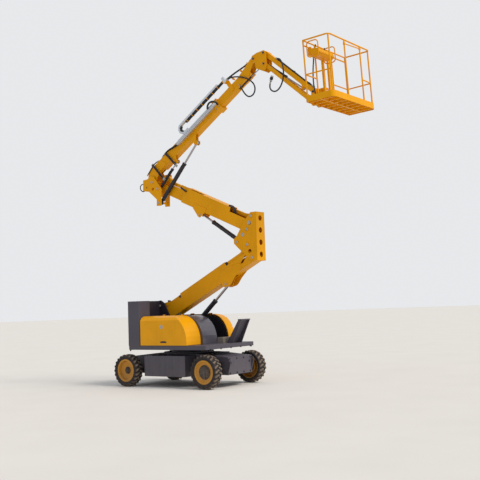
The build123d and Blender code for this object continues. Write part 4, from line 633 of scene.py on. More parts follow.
# Tyres and wheels
BEAD, CARCASS = 0.250, 0.333
LUG_STATIONS = (
    # across the tread, top radius, foot radius, turn, half width as an angle
    (0.002, 0.355, 0.328, 0.000, 0.052),
    (0.040, 0.355, 0.328, 0.035, 0.055),
    (0.078, 0.353, 0.326, 0.090, 0.068),
    (0.104, 0.346, 0.316, 0.120, 0.075),
    (0.116, 0.330, 0.305, 0.130, 0.072),
    (0.119, 0.312, 0.300, 0.130, 0.066),
)
LUG_FLAT = 0.8
LUG_DUST, SUNK_DUST = 1.0, 0.12
SIDEWALL = (
    # radius, across
    (BEAD, 0.092), (0.256, 0.103), (0.266, 0.108), (0.270, 0.112), (0.276, 0.112), (0.279, 0.110),
    (0.296, 0.115), (0.312, 0.114), (0.325, 0.106), (CARCASS, 0.088),
)
# Hubs: profile, radius of the bolt circle, seat of the bolts, how many, their size as a share of a head
DRIVE_HUB = ((
    (0, 0.084), (0.046, 0.084), (0.052, 0.079), (0.056, 0.0755), (0.112, 0.0755), (0.118, 0.073),
    (0.136, 0.062), (0.152, 0.058), (0.154, 0.052), (0.150, 0.046), (0, 0.046),
), 0.122, 0.0735, 10, 1.0)
STEER_HUB = ((
    (0, 0.060), (0.026, 0.060), (0.031, 0.056), (0.035, 0.0535), (0.047, 0.040), (0.064, 0.030),
    (0.077, 0.027), (0.080, 0.018), (0, 0.018),
), 0.063, 0.030, 6, 0.8)
# Valve: place of its foot in the side view and how far out that is, then its length, lean and radius
VALVE_FOOT, VALVE_OUT = Vector((0.168, 0, 0.060)), 0.052
VALVE_LENGTH, VALVE_LEAN, VALVE_RADIUS = 0.030, 0.006, 0.005
# Wheels: side of the machine, hub
WHEELS = {
    "steer_right": (-1, STEER_HUB),
    "steer_left": (1, STEER_HUB),
    "drive_right": (-1, DRIVE_HUB),
    "drive_left": (1, DRIVE_HUB),
}


def lug_mesh(name, side):
    """One tread lug of a shoulder, standing at the top of a wheel about the origin."""
    bm = bmesh.new()
    dust = bm.verts.layers.float.new("ground_dust")
    loops = []
    for across, top, foot, turn, half in LUG_STATIONS:
        loop = []
        for radius, shift in ((foot, -half), (top, -half * LUG_FLAT), (top, half * LUG_FLAT), (foot, half)):
            angle = turn + shift
            vert = bm.verts.new((radius * math.sin(angle), side * across, radius * math.cos(angle)))
            vert[dust] = LUG_DUST if radius == top and top > CARCASS else SUNK_DUST
            loop.append(vert)
        loops.append(loop)
    for one, two in zip(loops, loops[1:]):
        for step in range(4):
            bm.faces.new((one[step], one[(step + 1) % 4], two[(step + 1) % 4], two[step]))
    bm.faces.new(loops[0])
    bm.faces.new(loops[-1])
    return mesh_object(name, bm, "Tread rubber", smooth=False)


class LIFT_OT_tyres(bpy.types.Operator):
    """Make four tyres with hooked lugs in place of the plain ones"""

    bl_idname = "lift.tyres"
    bl_label = "Tyres"

    def execute(self, context):
        count = context.scene.lift_sizes.lug_count
        section = SIDEWALL + tuple((radius, -across) for radius, across in reversed(SIDEWALL))
        for name in WHEELS:
            body = f"wheel_{name}"
            hub = pivot(f"{body}_spin")
            rings(
                f"Tyre_{name}", [(hub, ALONG_Y)], section, 72, "Tyre rubber", body,
                replaces=(f"tyre_{name}",))
            for side, label in ((-1, "right"), (1, "left")):
                lugs = lug_mesh(f"Lugs_{name}_{label}", side)
                grow(
                    lugs, "Copies round an axle", axle_group, count=count, centre=tuple(hub),
                    phase=math.pi / count if side > 0 else 0.0, material=paint("Tread rubber"))
                finish_mesh(lugs, body)
        return {"FINISHED"}


class LIFT_OT_hubs(bpy.types.Operator):
    """Put the dark hubs, their bolts and a valve on each wheel"""

    bl_idname = "lift.hubs"
    bl_label = "Hubs"

    def execute(self, context):
        head = context.scene.lift_sizes.bolt_head
        for name, (side, (profile, circle, seat, studs, share)) in WHEELS.items():
            body = f"wheel_{name}"
            centre = pivot(f"{body}_spin")
            outward = ALONG_Y * side
            rings(f"Hub_{name}", [(centre, outward)], profile, 48, "Hub paint", body)
            turns = [2 * math.pi * step / studs for step in range(studs)]
            spots = [(centre + spoke(turn, circle) + outward * seat, outward) for turn in turns]
            bolts(f"Hub_bolts_{name}", spots, body, head * share, "Hub paint")
            bm = bmesh.new()
            foot = centre + VALVE_FOOT + outward * VALVE_OUT
            add_bar(bm, foot, foot + outward * VALVE_LENGTH + ALONG_X * VALVE_LEAN, VALVE_RADIUS, 10)
            add_piece(f"Valve_{name}", bm, "Moulded black", body)
        return {"FINISHED"}


# Pins and their caps
LINK_SHIFT = pivot("lower_link_turn") - pivot("lower_lift")
MOUNT_SHIFT = Vector((0, 0, pivot("jib_lower_turn").z - pivot("jib_lift").z))
CAP, SMALL_CAP, JIB_CAP = 0.031, 0.026, 0.028
CAP_DEPTH, THIN_CAP_DEPTH = 0.008, 0.003
CAP_SINK, CAP_BOLT_SINK = 0.001, 0.0005
CAP_BOLT_ARM, CAP_BOLT_SHARE = 0.68, 0.5
# Body: distance of a pin's end from the boom plane, depth of its cap, finish, places with the cap's radius
PINS = {
    "turntable": (0.177, CAP_DEPTH, "Zinc", ((pivot("lower_lift"), CAP), (pivot("lower_link_turn"), CAP))),
    "mid_knuckle": (0.169, CAP_DEPTH, "Zinc", (
        (pivot("mid_knuckle_level"), CAP), (pivot("mid_knuckle_level") + LINK_SHIFT, CAP),
        (pivot("middle_lift"), CAP), (pivot("middle_link_turn"), CAP),
        (pivot("middle_lift_barrel_turn"), SMALL_CAP))),
    "upper_knuckle": (0.169, CAP_DEPTH, "Zinc", (
        (pivot("upper_knuckle_level"), CAP), (pivot("main_lift"), CAP),
        (pivot("main_lift_barrel_turn"), SMALL_CAP))),
    "jib_yoke": (0.124, CAP_DEPTH, "Black enamel", tuple(
        (pivot(name), JIB_CAP) for name in ("yoke_level", "jib_lift", "jib_lower_turn"))),
    "platform_mount": (0.124, THIN_CAP_DEPTH, "Black enamel", (
        (pivot("mount_level"), JIB_CAP), (pivot("mount_level") + MOUNT_SHIFT, JIB_CAP))),
    "lower_boom": (0.140, CAP_DEPTH, "Zinc", ((LOWER.at(1.958, -0.158, BOOM_Y), SMALL_CAP),)),
    "middle_boom": (0.140, CAP_DEPTH, "Zinc", ((MIDDLE.at(1.448, -0.150, BOOM_Y), SMALL_CAP),)),
}


class LIFT_OT_pins(bpy.types.Operator):
    """Cap the pivot pins, with two bolts in each cap but the thin ones"""

    bl_idname = "lift.pins"
    bl_label = "Pins"

    def execute(self, context):
        head = context.scene.lift_sizes.bolt_head
        for body, (reach, deep, material, places) in PINS.items():
            turns = (math.pi / 4, math.pi * 5 / 4) if deep > THIN_CAP_DEPTH else ()
            bm = bmesh.new()
            spots = []
            for place, radius in places:
                profile = dish(
                    radius * 0.42, radius * 0.5, radius * 0.86, radius,
                    deep * 0.55, deep, deep * 0.5, -CAP_SINK)
                for seat, outward in both_faces(place, reach):
                    add_ring(bm, seat, outward, profile, 32)
                    for turn in turns:
                        lift = outward * (deep - CAP_BOLT_SINK)
                        spots.append((seat + spoke(turn, radius) * CAP_BOLT_ARM + lift, outward))
            add_piece(f"Pin_caps_{body}", bm, material, body)
            if spots:
                bolts(f"Pin_bolts_{body}", spots, body, head * CAP_BOLT_SHARE)
        return {"FINISHED"}


# Hoods and deck
HOOD_SIDE = 0.850
SEAL_INSET, SEAL_WIDTH = 0.006, 0.016
HOOD_BOSS = dish(0.034, 0.037, 0.043, 0.045, 0.0022, 0.0030, 0.001, -0.002)
# Places on a hood's side, as x and z
BOSS_PLACE, LATCH_PLACE = (-0.055, 1.306), (-0.002, 0.977)
LATCH_EDGE = 0.0012
# Bolts round the deck: x of those on its sides, y of those on its ends, how far out and how high they sit
SIDE_BOLTS, END_BOLTS = (-0.98, 1.10), (-0.70, -0.35, 0.0, 0.35, 0.70)
DECK_SIDE, SIDE_BOLT_LIFT, END_BOLT_LIFT = 0.853, 0.030, 0.044
# Latch: lowest and highest corner of each of its two plates
LATCH = (
    ((-0.088, -0.0025, -0.016), (0.088, 0.0025, 0.016)),
    ((-0.050, -0.0030, -0.008), (0.062, 0.0030, 0.022)),
)


class LIFT_OT_hoods(bpy.types.Operator):
    """Put a bare round boss and a flat latch on each hood, the seals below, and bolts round the deck"""

    bl_idname = "lift.hoods"
    bl_label = "Hoods"

    def execute(self, context):
        for side, name in ((-1, "right"), (1, "left")):
            body = f"hood_{name}"
            seat, latch = (Vector((x, side * HOOD_SIDE, z)) for x, z in (BOSS_PLACE, LATCH_PLACE))
            rings(f"Boss_{name}", [(seat, ALONG_Y * side)], HOOD_BOSS, 40, "Zinc", body)
            bm = bmesh.new()
            for low, high in LATCH:
                add_box(bm, latch + Vector(low), latch + Vector(high))
            add_piece(f"Latch_{name}", bm, "Moulded black", body, smooth=False, edge=LATCH_EDGE)
        bm = bmesh.new()
        low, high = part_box("turntable_deck")
        for side in BOTH:
            outer = side * (HOOD_SIDE - SEAL_INSET)
            edges = sorted((outer, outer - side * SEAL_WIDTH))
            add_box(bm, (-0.68, edges[0], high[2] - 0.002), (0.648, edges[1], high[2] + 0.0055))
        add_piece("Hood_seals", bm, "Moulded black", "turntable", smooth=False)
        spots = []
        for x in SIDE_BOLTS:
            for side in BOTH:
                spots.append((Vector((x, side * DECK_SIDE, low[2] + SIDE_BOLT_LIFT)), ALONG_Y * side))
        for y in END_BOLTS:
            for x, way in ((high[0], ALONG_X), (low[0], -ALONG_X)):
                spots.append((Vector((x, y, low[2] + END_BOLT_LIFT)), way))
        head = context.scene.lift_sizes.bolt_head
        bolts("Deck_bolts", spots, "turntable", head, "Moulded black")
        return {"FINISHED"}


# Drag chain, its tray and the hoses beside it
CHAIN_BEND, CHAIN_MID, CHAIN_RADIUS = 1.490, 0.400, 0.111
CHAIN_END, CHAIN_Y, CHAIN_HALF = 2.838, 0.221, 0.031
LOWER_RUN, LOWER_RUN_N = (1.245, 2.43), 0.2425
LINK_TALL, LINK_CORNER = 0.0245, 0.012
LINK_BOSS = button(0.009, 0.011, 0.003, 0.001, -0.001)
TRAY_FROM, TRAY_TO, TRAY_Y = 1.145, 2.555, 0.184
TRAY_BEADS = ((0.240, 0.0085), (0.2125, 0.013), (0.182, 0.011))
BEND_HOSE, BEND_HOSE_RADIUS = 0.066, 0.017
BUNDLE_FROM, BUNDLE_MID, BUNDLE_TO, BUNDLE_N = 1.640, 2.2, 3.010, 0.466
BUNDLE_HOSE_RADIUS = 0.0145
# Shifts in y of two hoses that lie side by side
PAIR = (-0.016, 0.016)


def bend_at(angle, radius, y):
    """Point of the drag chain's bend."""
    return MAIN.at(CHAIN_BEND + radius * math.cos(angle), CHAIN_MID + radius * math.sin(angle), y)


def chain_link(pitch):
    """One link: two side plates with a joint boss, and two cross bars."""
    bm = bmesh.new()
    reach, wide = pitch * 0.485, CHAIN_HALF + 0.003
    for side in BOTH:
        outline = []
        for cx, cz, start in ((1, 1, 0), (-1, 1, 1), (-1, -1, 2), (1, -1, 3)):
            for step in range(4):
                angle = (start + step / 3) * math.pi / 2
                outline.append((
                    cx * (reach - LINK_CORNER) + LINK_CORNER * math.cos(angle),
                    cz * (LINK_TALL - LINK_CORNER) + LINK_CORNER * math.sin(angle)))
        edges = sorted((side * (wide - 0.004), side * wide))
        add_prism(bm, *([(x, edge, z) for x, z in outline] for edge in edges))
        add_ring(bm, Vector((reach, side * (wide - 0.001), 0)), ALONG_Y * side, LINK_BOSS, 16)
    for level in BOTH:
        edges = sorted((level * (LINK_TALL - 0.006), level * (LINK_TALL - 0.002)))
        add_box(bm, (-pitch * 0.22, -wide + 0.003, edges[0]), (pitch * 0.22, wide - 0.003, edges[1]))
    return mesh_object("Chain_link", bm, "Tray metal", smooth=False)


class LIFT_OT_chain(bpy.types.Operator):
    """Lay the links of the drag chain, the tray's beads and the clipped hose bundle"""

    bl_idname = "lift.chain"
    bl_label = "Drag chain"

    def execute(self, context):
        sizes = context.scene.lift_sizes
        path = [MAIN.at(CHAIN_END - 0.04, CHAIN_MID + CHAIN_RADIUS, CHAIN_Y)]
        path += [bend_at(math.pi / 2 + math.pi * step / 12, CHAIN_RADIUS, CHAIN_Y) for step in range(13)]
        path.append(MAIN.at(CHAIN_BEND + 0.09, CHAIN_MID - CHAIN_RADIUS, CHAIN_Y))
        run = [MAIN.at(u, LOWER_RUN_N, CHAIN_Y) for u in LOWER_RUN]
        pitch = sizes.link_pitch
        along_path("Chain_links", chain_link(pitch), path, pitch, "Tray metal", "drag_chain")
        along_path("Chain_lower_links", chain_link(pitch), run, pitch, "Tray metal", "main_boom")
        bm = bmesh.new()
        for n, radius in TRAY_BEADS:
            start, end = (MAIN.at(u, n, TRAY_Y - 0.002) for u in (TRAY_FROM, TRAY_TO - 0.10))
            add_bar(bm, start, end, radius, 16)
        add_piece("Tray_beads", bm, "Tray metal", "main_boom")
        # hoses in the bend ride with the chain, and the straight bundle rides with the fly boom
        turns = [math.radians(96 + 22 * step) for step in range(8)]
        bends = [[bend_at(turn, BEND_HOSE, CHAIN_Y + y) for turn in turns] for y in PAIR]
        hoses("Bend_hoses", bends, BEND_HOSE_RADIUS, "drag_chain", fittings=False)
        rows = [(n, y) for n in (BUNDLE_N - 0.011, BUNDLE_N + 0.011) for y in PAIR]
        stops = (BUNDLE_FROM, BUNDLE_MID, BUNDLE_TO)
        routes = [[MAIN.at(u, n, CHAIN_Y + y) for u in stops] for n, y in rows]
        bundle = hoses("Bundle_hoses", routes, BUNDLE_HOSE_RADIUS, "fly_boom", fittings=False)
        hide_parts("hose_bundle")
        bm = bmesh.new()
        add_box(bm, (-0.008, -0.036, -0.029), (0.008, 0.036, 0.021))
        run = [MAIN.at(u, BUNDLE_N, CHAIN_Y) for u in (BUNDLE_FROM + 0.06, BUNDLE_TO - 0.02)]
        clip = mesh_object("Clip", bm, "Boom yellow", smooth=False)
        along_path("Bundle_clips", clip, run, sizes.clip_pitch, "Boom yellow", "fly_boom")
        boom_boxes("Bundle_block", MAIN, (
            (3.000, 3.070, 0.400, 0.555, 0.190, 0.250),
        ), "Tray metal", "fly_boom")
        boom_boxes("Bundle_plate", MAIN, (
            (3.012, 3.110, 0.150, 0.420, 0.262, 0.276), (3.012, 3.110, 0.385, 0.405, 0.195, 0.270),
        ), "Boom yellow", "fly_boom")
        return {"FINISHED"}


# Held hoses: line, body, radius, shift (u, n, y) to the next hose beside it, how many, points (u, n, y)
ALONE = (0, 0, 0)
HOSE_ROUTES = {
    "Foot_hoses_rear": (MAIN, "main_boom", 0.013, (0.029, 0.004, 0), 2, (
        (0.200, 0.330, 0.250), (0.232, 0.352, 0.222), (0.252, 0.260, 0.205), (0.274, 0.120, 0.205),
        (0.296, -0.060, 0.210), (0.312, -0.190, 0.236))),
    "Foot_hoses_front": (MAIN, "main_boom", 0.013, (0.029, 0.004, 0), 2, (
        (0.646, 0.318, 0.290), (0.686, 0.324, 0.235), (0.728, 0.220, 0.212), (0.760, 0.060, 0.212),
        (0.776, -0.040, 0.220), (0.784, -0.120, 0.230), (0.790, -0.175, 0.242))),
    "Foot_band": (MAIN, "main_boom", 0.013, ALONE, 1, (
        (0.420, 0.324, 0.275), (0.340, 0.334, 0.240), (0.220, 0.312, 0.232), (0.100, 0.280, 0.232),
        (0.020, 0.262, 0.236), (-0.040, 0.250, 0.239))),
    "Tray_hoses": (MAIN, "main_boom", 0.015, (0.010, -0.006, 0.031), 2, (
        (0.560, 0.326, 0.290), (0.720, 0.329, 0.256), (0.860, 0.300, 0.230), (1.000, 0.250, 0.216),
        (1.170, 0.214, 0.212))),
    "Chain_arch": (MAIN, "main_boom", 0.022, ALONE, 1, (
        (2.325, 0.230, 0.157), (2.352, 0.284, 0.155), (2.430, 0.318, 0.158), (2.515, 0.300, 0.172),
        (2.566, 0.235, 0.198), (2.580, 0.150, 0.215))),
    "Knuckle_loop": (MAIN, "upper_knuckle", 0.012, ALONE, 1, (
        (-0.190, 0.100, 0.236), (-0.265, 0.172, 0.230), (-0.350, 0.190, 0.226), (-0.408, 0.125, 0.226),
        (-0.394, 0.030, 0.228), (-0.318, -0.014, 0.232), (-0.240, 0.010, 0.240))),
    "Fly_top_hoses": (MAIN, "fly_boom", 0.014, (0.004, 0.026, 0.026), 2, (
        (3.060, 0.452, 0.236), (3.200, 0.446, 0.262), (3.360, 0.430, 0.292), (3.520, 0.404, 0.318),
        (3.660, 0.388, 0.335), (3.780, 0.388, 0.345))),
    "Arm_cables": (JIB, "jib_upper_arm", 0.013, (0, 0, 0.034), 2, (
        (0.330, 0.070, 0.316), (0.500, 0.068, 0.310), (0.720, 0.066, 0.308), (0.960, 0.067, 0.311),
        (1.200, 0.066, 0.308), (1.420, 0.070, 0.314), (1.540, 0.074, 0.322))),
    "Middle_end_hoses": (MIDDLE, "middle_boom", 0.013, (0, 0, 0.030), 3, (
        (2.175, 0.311, 0.252), (2.240, 0.318, 0.252), (2.300, 0.294, 0.252), (2.345, 0.230, 0.252),
        (2.362, 0.165, 0.252), (2.366, 0.105, 0.252))),
    "Middle_stub": (MIDDLE, "middle_boom", 0.021, ALONE, 1, (
        (0.680, 0.255, 0.207), (0.740, 0.240, 0.207), (0.800, 0.228, 0.207), (0.870, 0.216, 0.208))),
}
BARE_HOSES = ("Middle_stub", "Chain_arch")


class LIFT_OT_hoses(bpy.types.Operator):
    """Run the hoses that are held along the booms, with crimped fittings on all but the bare ones"""

    bl_idname = "lift.hoses"
    bl_label = "Held hoses"

    def execute(self, context):
        for name, (line, body, radius, shift, count, points) in HOSE_ROUTES.items():
            steps = [[lane * part for part in shift] for lane in range(count)]
            routes = [[line.at(u + du, n + dn, y + dy) for u, n, y in points] for du, dn, dy in steps]
            hoses(name, routes, radius, body, fittings=name not in BARE_HOSES)
        return {"FINISHED"}


# Free hoses that hang in a loop: points (u, n, y) beside the main boom and the jib
TIP_LOOP = (
    (3.072, 0.430, 0.232), (3.170, 0.424, 0.232), (3.290, 0.345, 0.234), (3.440, 0.190, 0.236),
    (3.550, 0.010, 0.236), (3.590, -0.170, 0.238), (3.530, -0.300, 0.242), (3.410, -0.345, 0.248),
    (3.300, -0.290, 0.254), (3.262, -0.170, 0.262), (3.262, -0.040, 0.264), (3.268, 0.112, 0.266),
)
JIB_LOOP = (
    (0.360, 0.060, 0.296), (0.430, 0.104, 0.250), (0.530, 0.112, 0.212), (0.650, 0.072, 0.186),
    (0.770, -0.020, 0.172), (0.865, -0.140, 0.166), (0.920, -0.270, 0.164), (0.930, -0.390, 0.164),
    (0.885, -0.490, 0.165), (0.780, -0.530, 0.167), (0.675, -0.490, 0.170), (0.630, -0.390, 0.174),
)
CONNECTOR = (
    (0, 0), (0.020, 0), (0.024, 0.006), (0.024, 0.036), (0.036, 0.042), (0.036, 0.086), (0.029, 0.092),
    (0.029, 0.124), (0, 0.124),
)
CONNECTOR_CLIP = collar(0.022, 0.0335, 0.007)


class LIFT_OT_loops(bpy.types.Operator):
    """Hang the two loose hose loops from the fly boom and the jib, with their fittings"""

    bl_idname = "lift.loops"
    bl_label = "Hanging loops"

    def execute(self, context):
        radius = context.scene.lift_sizes.hose
        profile = (
            (0, -0.018), (radius, -0.018), (radius, 0.010), (radius + 0.003, 0.014), (radius + 0.003, 0.044),
            (radius + 0.001, 0.048), (0, 0.048),
        )
        for name, line, points, body in (
            ("Tip_loop", MAIN, TIP_LOOP, "fly_boom"), ("Jib_loop", JIB, JIB_LOOP, "jib_upper_arm"),
        ):
            ends = hose_ends([line.at(*point) for point in points])
            rings(f"{name}_fittings", ends, profile, 16, "Zinc", body)
        # the connector that the jib's loop plugs into, with its two clip rings
        plug, socket = JIB.at(*JIB_LOOP[-1]), JIB.at(0.585, -0.280, 0.184)
        way = (socket - plug).normalized()
        connector = rings(
            "Jib_connector", [(plug + way * 0.008, way)], CONNECTOR, 20, "Moulded black", "jib_upper_arm")
        seats = [(plug + way * reach, way) for reach in (0.026, 0.114)]
        rings("Connector_clips", seats, CONNECTOR_CLIP, 20, "Tray metal", "jib_upper_arm")
        loose_hose("Tip_loop", MAIN, TIP_LOOP, radius, "fly_boom")
        loose_hose("Jib_loop", JIB, JIB_LOOP, radius, "jib_upper_arm")
        return {"FINISHED"}


# Cylinders: radius and length of each barrel
CYLINDERS = {
    "lower_lift": (0.052, 1.290), "middle_lift": (0.046, 0.930), "main_lift": (0.046, 1.150),
    "master": (0.032, 0.600), "slave": (0.028, 0.640), "jib": (0.034, 0.640),
}
# Ports: distance from the base of the first and from the end of the other
FIRST_PORT, LAST_PORT = 0.150, 0.075


class LIFT_OT_cylinders(bpy.types.Operator):
    """Fit each barrel with a gland, a rod wiper, two ports, a pipe between them and two bands"""

    bl_idname = "lift.cylinders"
    bl_label = "Cylinders"

    def execute(self, context):
        for name, (radius, length) in CYLINDERS.items():
            base = pivot(f"{name}_barrel_turn")
            along = joint_axis(f"{name}_rod_slide").normalized()
            above = along.cross(ALONG_Y).normalized()
            out = -ALONG_Y
            bm = bmesh.new()
            add_ring(bm, base + along * length, along, [
                (radius * 0.5, -0.002), (radius + 0.006, -0.002), (radius + 0.006, -0.034),
                (radius + 0.002, -0.038), (radius + 0.002, -0.044), (radius * 0.5, -0.044),
            ], 36)
            add_ring(bm, base + along * length, along, [
                (radius * 0.62, 0.003), (radius * 0.85, 0.001), (radius * 0.85, -0.004),
                (radius * 0.62, -0.004),
            ], 28)
            for reach in (length - LAST_PORT, FIRST_PORT):
                spot = base + along * reach + out * (radius * 0.85)
                add_bar(bm, spot, spot + out * (radius * 0.15 + 0.014), 0.014, 12)
            pipe = base + out * (radius * 0.86) + above * (radius * 0.55)
            add_bar(bm, pipe + along * FIRST_PORT, pipe + along * (length - LAST_PORT), 0.0065, 10)
            for share in (0.3, 0.7):
                band = collar(radius * 0.9, radius + 0.003, 0.010)
                add_ring(bm, base + along * length * share, along, band, 28)
            add_piece(f"Barrel_fittings_{name}", bm, "Black enamel", f"{name}_barrel")
        return {"FINISHED"}


# Platform and its console
CONSOLE_BACK, CONSOLE_FRONT = Vector((0.1763, 0.8415)), Vector((0.4213, 0.7965))
PANEL_SHARES, PANEL_TOP = (0.14, 0.90), 0.004
# Levers and switches: share of the way down the slope, y, radius, height
CONTROLS = (
    (0.48, -0.635, 0.013, 0.085), (0.48, -0.520, 0.013, 0.075), (0.48, -0.285, 0.013, 0.085),
    *((0.72, y, 0.006, 0.022) for y in (-0.580, -0.480, -0.400, -0.350, -0.220)),
)
STOP_KNOB = (
    (0, 0.034), (0.017, 0.031), (0.020, 0.024), (0.018, 0.016), (0.010, 0.014), (0.010, 0), (0, 0))
CONSOLE_CABLE = (
    (0.200, -0.560, 0.700), (0.195, -0.565, 0.620), (0.160, -0.545, 0.500), (0.128, -0.520, 0.360),
    (0.112, -0.505, 0.200), (0.106, -0.480, 0.060), (0.106, -0.455, -0.040), (0.112, -0.440, -0.120),
)
# Bolts of the toe board: width of a head, distance from the pin, half the board, shares of it, heights
TOE_BOLT, TOE_OUT, TOE_HALF = 0.018, 0.125, 0.8387
TOE_SHARES, TOE_HEIGHTS = (-0.97, -0.48, 0.30, 0.97), (-0.200, -0.262)


def console_at(share, y, lift):
    """Point on the console's sloping top: share of the way from its back edge, height above it."""
    run = CONSOLE_FRONT - CONSOLE_BACK
    rise = Vector((-run.y, run.x)).normalized() * lift
    return platform_at(CONSOLE_BACK.x + run.x * share + rise.x, y, CONSOLE_BACK.y + run.y * share + rise.y)


class LIFT_OT_platform(bpy.types.Operator):
    """Fit the console's panels, controls, stop knob and cable, and the bolts of the toe board"""

    bl_idname = "lift.platform"
    bl_label = "Platform"

    def execute(self, context):
        bm = bmesh.new()
        back, front = PANEL_SHARES
        for left, right in ((-0.700, -0.440), (-0.425, -0.165)):
            corners = ((back, left), (front, left), (front, right), (back, right))
            faces = [[console_at(share, y, lift) for share, y in corners] for lift in (0.0, PANEL_TOP)]
            add_prism(bm, *faces)
        for share, y, wide, tall in CONTROLS:
            foot, top = console_at(share, y, 0.002), console_at(share, y, tall)
            add_ring(bm, foot, top - foot, [
                (0, 0), (wide * 2.2, 0), (wide * 1.5, 0.010), (wide * 0.6, 0.020), (0, 0.020)], 18)
            add_bar(bm, foot, top, wide * 0.6, 10)
            add_ring(bm, top, top - foot, [
                (0, -0.02), (wide, -0.016), (wide * 1.1, 0.0), (wide * 0.7, 0.012), (0, 0.014)], 16)
        add_piece("Console_controls", bm, "Moulded black", "platform")
        foot, top = (console_at(0.30, -0.405, lift) for lift in (0.003, 0.034))
        rings("Stop_knob", [(foot, top - foot)], STOP_KNOB, 24, "Signal red", "platform")
        hoses("Console_cable", [[platform_at(*point) for point in CONSOLE_CABLE]], 0.0135, "platform")
        spots = []
        for share in TOE_SHARES:
            for z in TOE_HEIGHTS:
                spots.append((platform_at(TOE_OUT, share * TOE_HALF, z), -PLATFORM_OUT))
        bolts("Toe_bolts", spots, "platform", TOE_BOLT)
        return {"FINISHED"}


# Structure: profiles of its round pieces, and how far the chassis and its lugs reach
TUBE_END = dish(0.030, 0.033, 0.040, 0.044, 0.002, 0.007, 0.004, -0.006)
FLY_BOSS = dish(0.026, 0.030, 0.037, 0.040, 0.004, 0.008, 0.004, -0.001)
CHASSIS_PLUG = button(0.024, 0.027, 0.006, 0.002, -0.001)
LUG_RING = ((0.021, 0.001), (0.031, 0.001), (0.033, -0.002), (0.021, -0.002))
CHASSIS_END = 1.425
LUG_END = CHASSIS_END + 0.0314


def chassis_seats(across, heights):
    """Seats on both ends of the chassis, at each y and each z."""
    return [
        (Vector((end * CHASSIS_END, y, z)), ALONG_X * end) for end in BOTH for y in across for z in heights]


class LIFT_OT_structure(bpy.types.Operator):
    """Clamp the boom hoses, and fit the web, tube ends, boss, collar and chassis bolts, plugs and rings"""

    bl_idname = "lift.structure"
    bl_label = "Structure"

    def execute(self, context):
        head = context.scene.lift_sizes.bolt_head
        boom_boxes("Middle_clamps", MIDDLE, (
            (2.150, 2.222, 0.290, 0.334, 0.234, 0.330), (2.336, 2.396, 0.120, 0.160, 0.233, 0.330),
        ), "Moulded black", "middle_boom")
        boom_boxes("Lower_clamps", LOWER, (
            (2.162, 2.204, 0.193, 0.272, 0.232, 0.264), (0.612, 0.655, 0.193, 0.262, 0.232, 0.264),
        ), "Moulded black", "lower_boom")
        # sheet behind the lift cylinder, between the middle boom's tongue and its levelling link
        boom_boxes("Middle_web", MIDDLE, (
            (0.300, 0.800, 0.060, 0.196, 0.363, 0.371), (0.560, 0.800, 0.190, 0.290, 0.363, 0.371),
        ), "Boom yellow", "middle_boom", edge=None)
        # round ends of the tubes that tie the mid knuckle's cheeks
        seats = []
        for x, z in ((1.643, 3.501), (1.460, 3.251)):
            seats += both_faces(Vector((x, 0, z)), 0.157)
        rings("Knuckle_tube_ends", seats, TUBE_END, 32, "Zinc", "mid_knuckle")
        rings("Fly_boss", [(MAIN.at(3.194, 0.202, 0.276), -ALONG_Y)], FLY_BOSS, 28, "Boom yellow", "fly_boom")
        boom_boxes("Arm_clamps", JIB, [
            (u - 0.016, u + 0.016, 0.048, 0.084, 0.296, 0.376) for u in (0.42, 0.90, 1.38)
        ], "Moulded black", "jib_upper_arm")
        boom_boxes("Fly_clamps", MAIN, [
            (u - 0.014, u + 0.014, 0.370, top, 0.285, 0.375)
            for u, top in ((3.20, 0.455), (3.46, 0.400), (3.70, 0.400))
        ], "Boom yellow", "fly_boom")
        spots = []
        for u in (2.475, 2.575):
            for n in (0.110, 0.275):
                spots += both_faces(MAIN.at(u, n, BOOM_Y), 0.122)
        bolts("Collar_bolts", spots, "main_boom", head * 0.8)
        spots = chassis_seats((-0.36, -0.12, 0.12, 0.36), (0.30, 0.60))
        bolts("Chassis_bolts", spots, "chassis", head, "Moulded black")
        seats = chassis_seats((-0.325, 0.325), (0.512,))
        rings("Chassis_plugs", seats, CHASSIS_PLUG, 24, "Moulded black", "chassis")
        seats = [
            (Vector((end * LUG_END, side * 0.419, 0.562)), ALONG_Y * side) for end in BOTH for side in BOTH]
        rings("Lug_rings", seats, LUG_RING, 28, "Chassis grey", "chassis")
        return {"FINISHED"}


# Studio
FLOOR_RADIUS = 120
SKY_COLOUR = (0.93, 0.96, 1.0, 1)
KEY_SPOT, KEY_COLOUR, KEY_ANGLE = Vector((8.5, 0.6, 8.8)), (1.0, 0.94, 0.86), math.radians(22)
CAMERA_SPOT = Vector((12.5334, -14.7021, 1.7783))
# Camera: degrees that it is turned, raised and rolled
CAMERA_TURNS = (36.735, 5.930, -2.066)
SENSOR_WIDTH, FAR_CLIP = 36, 400


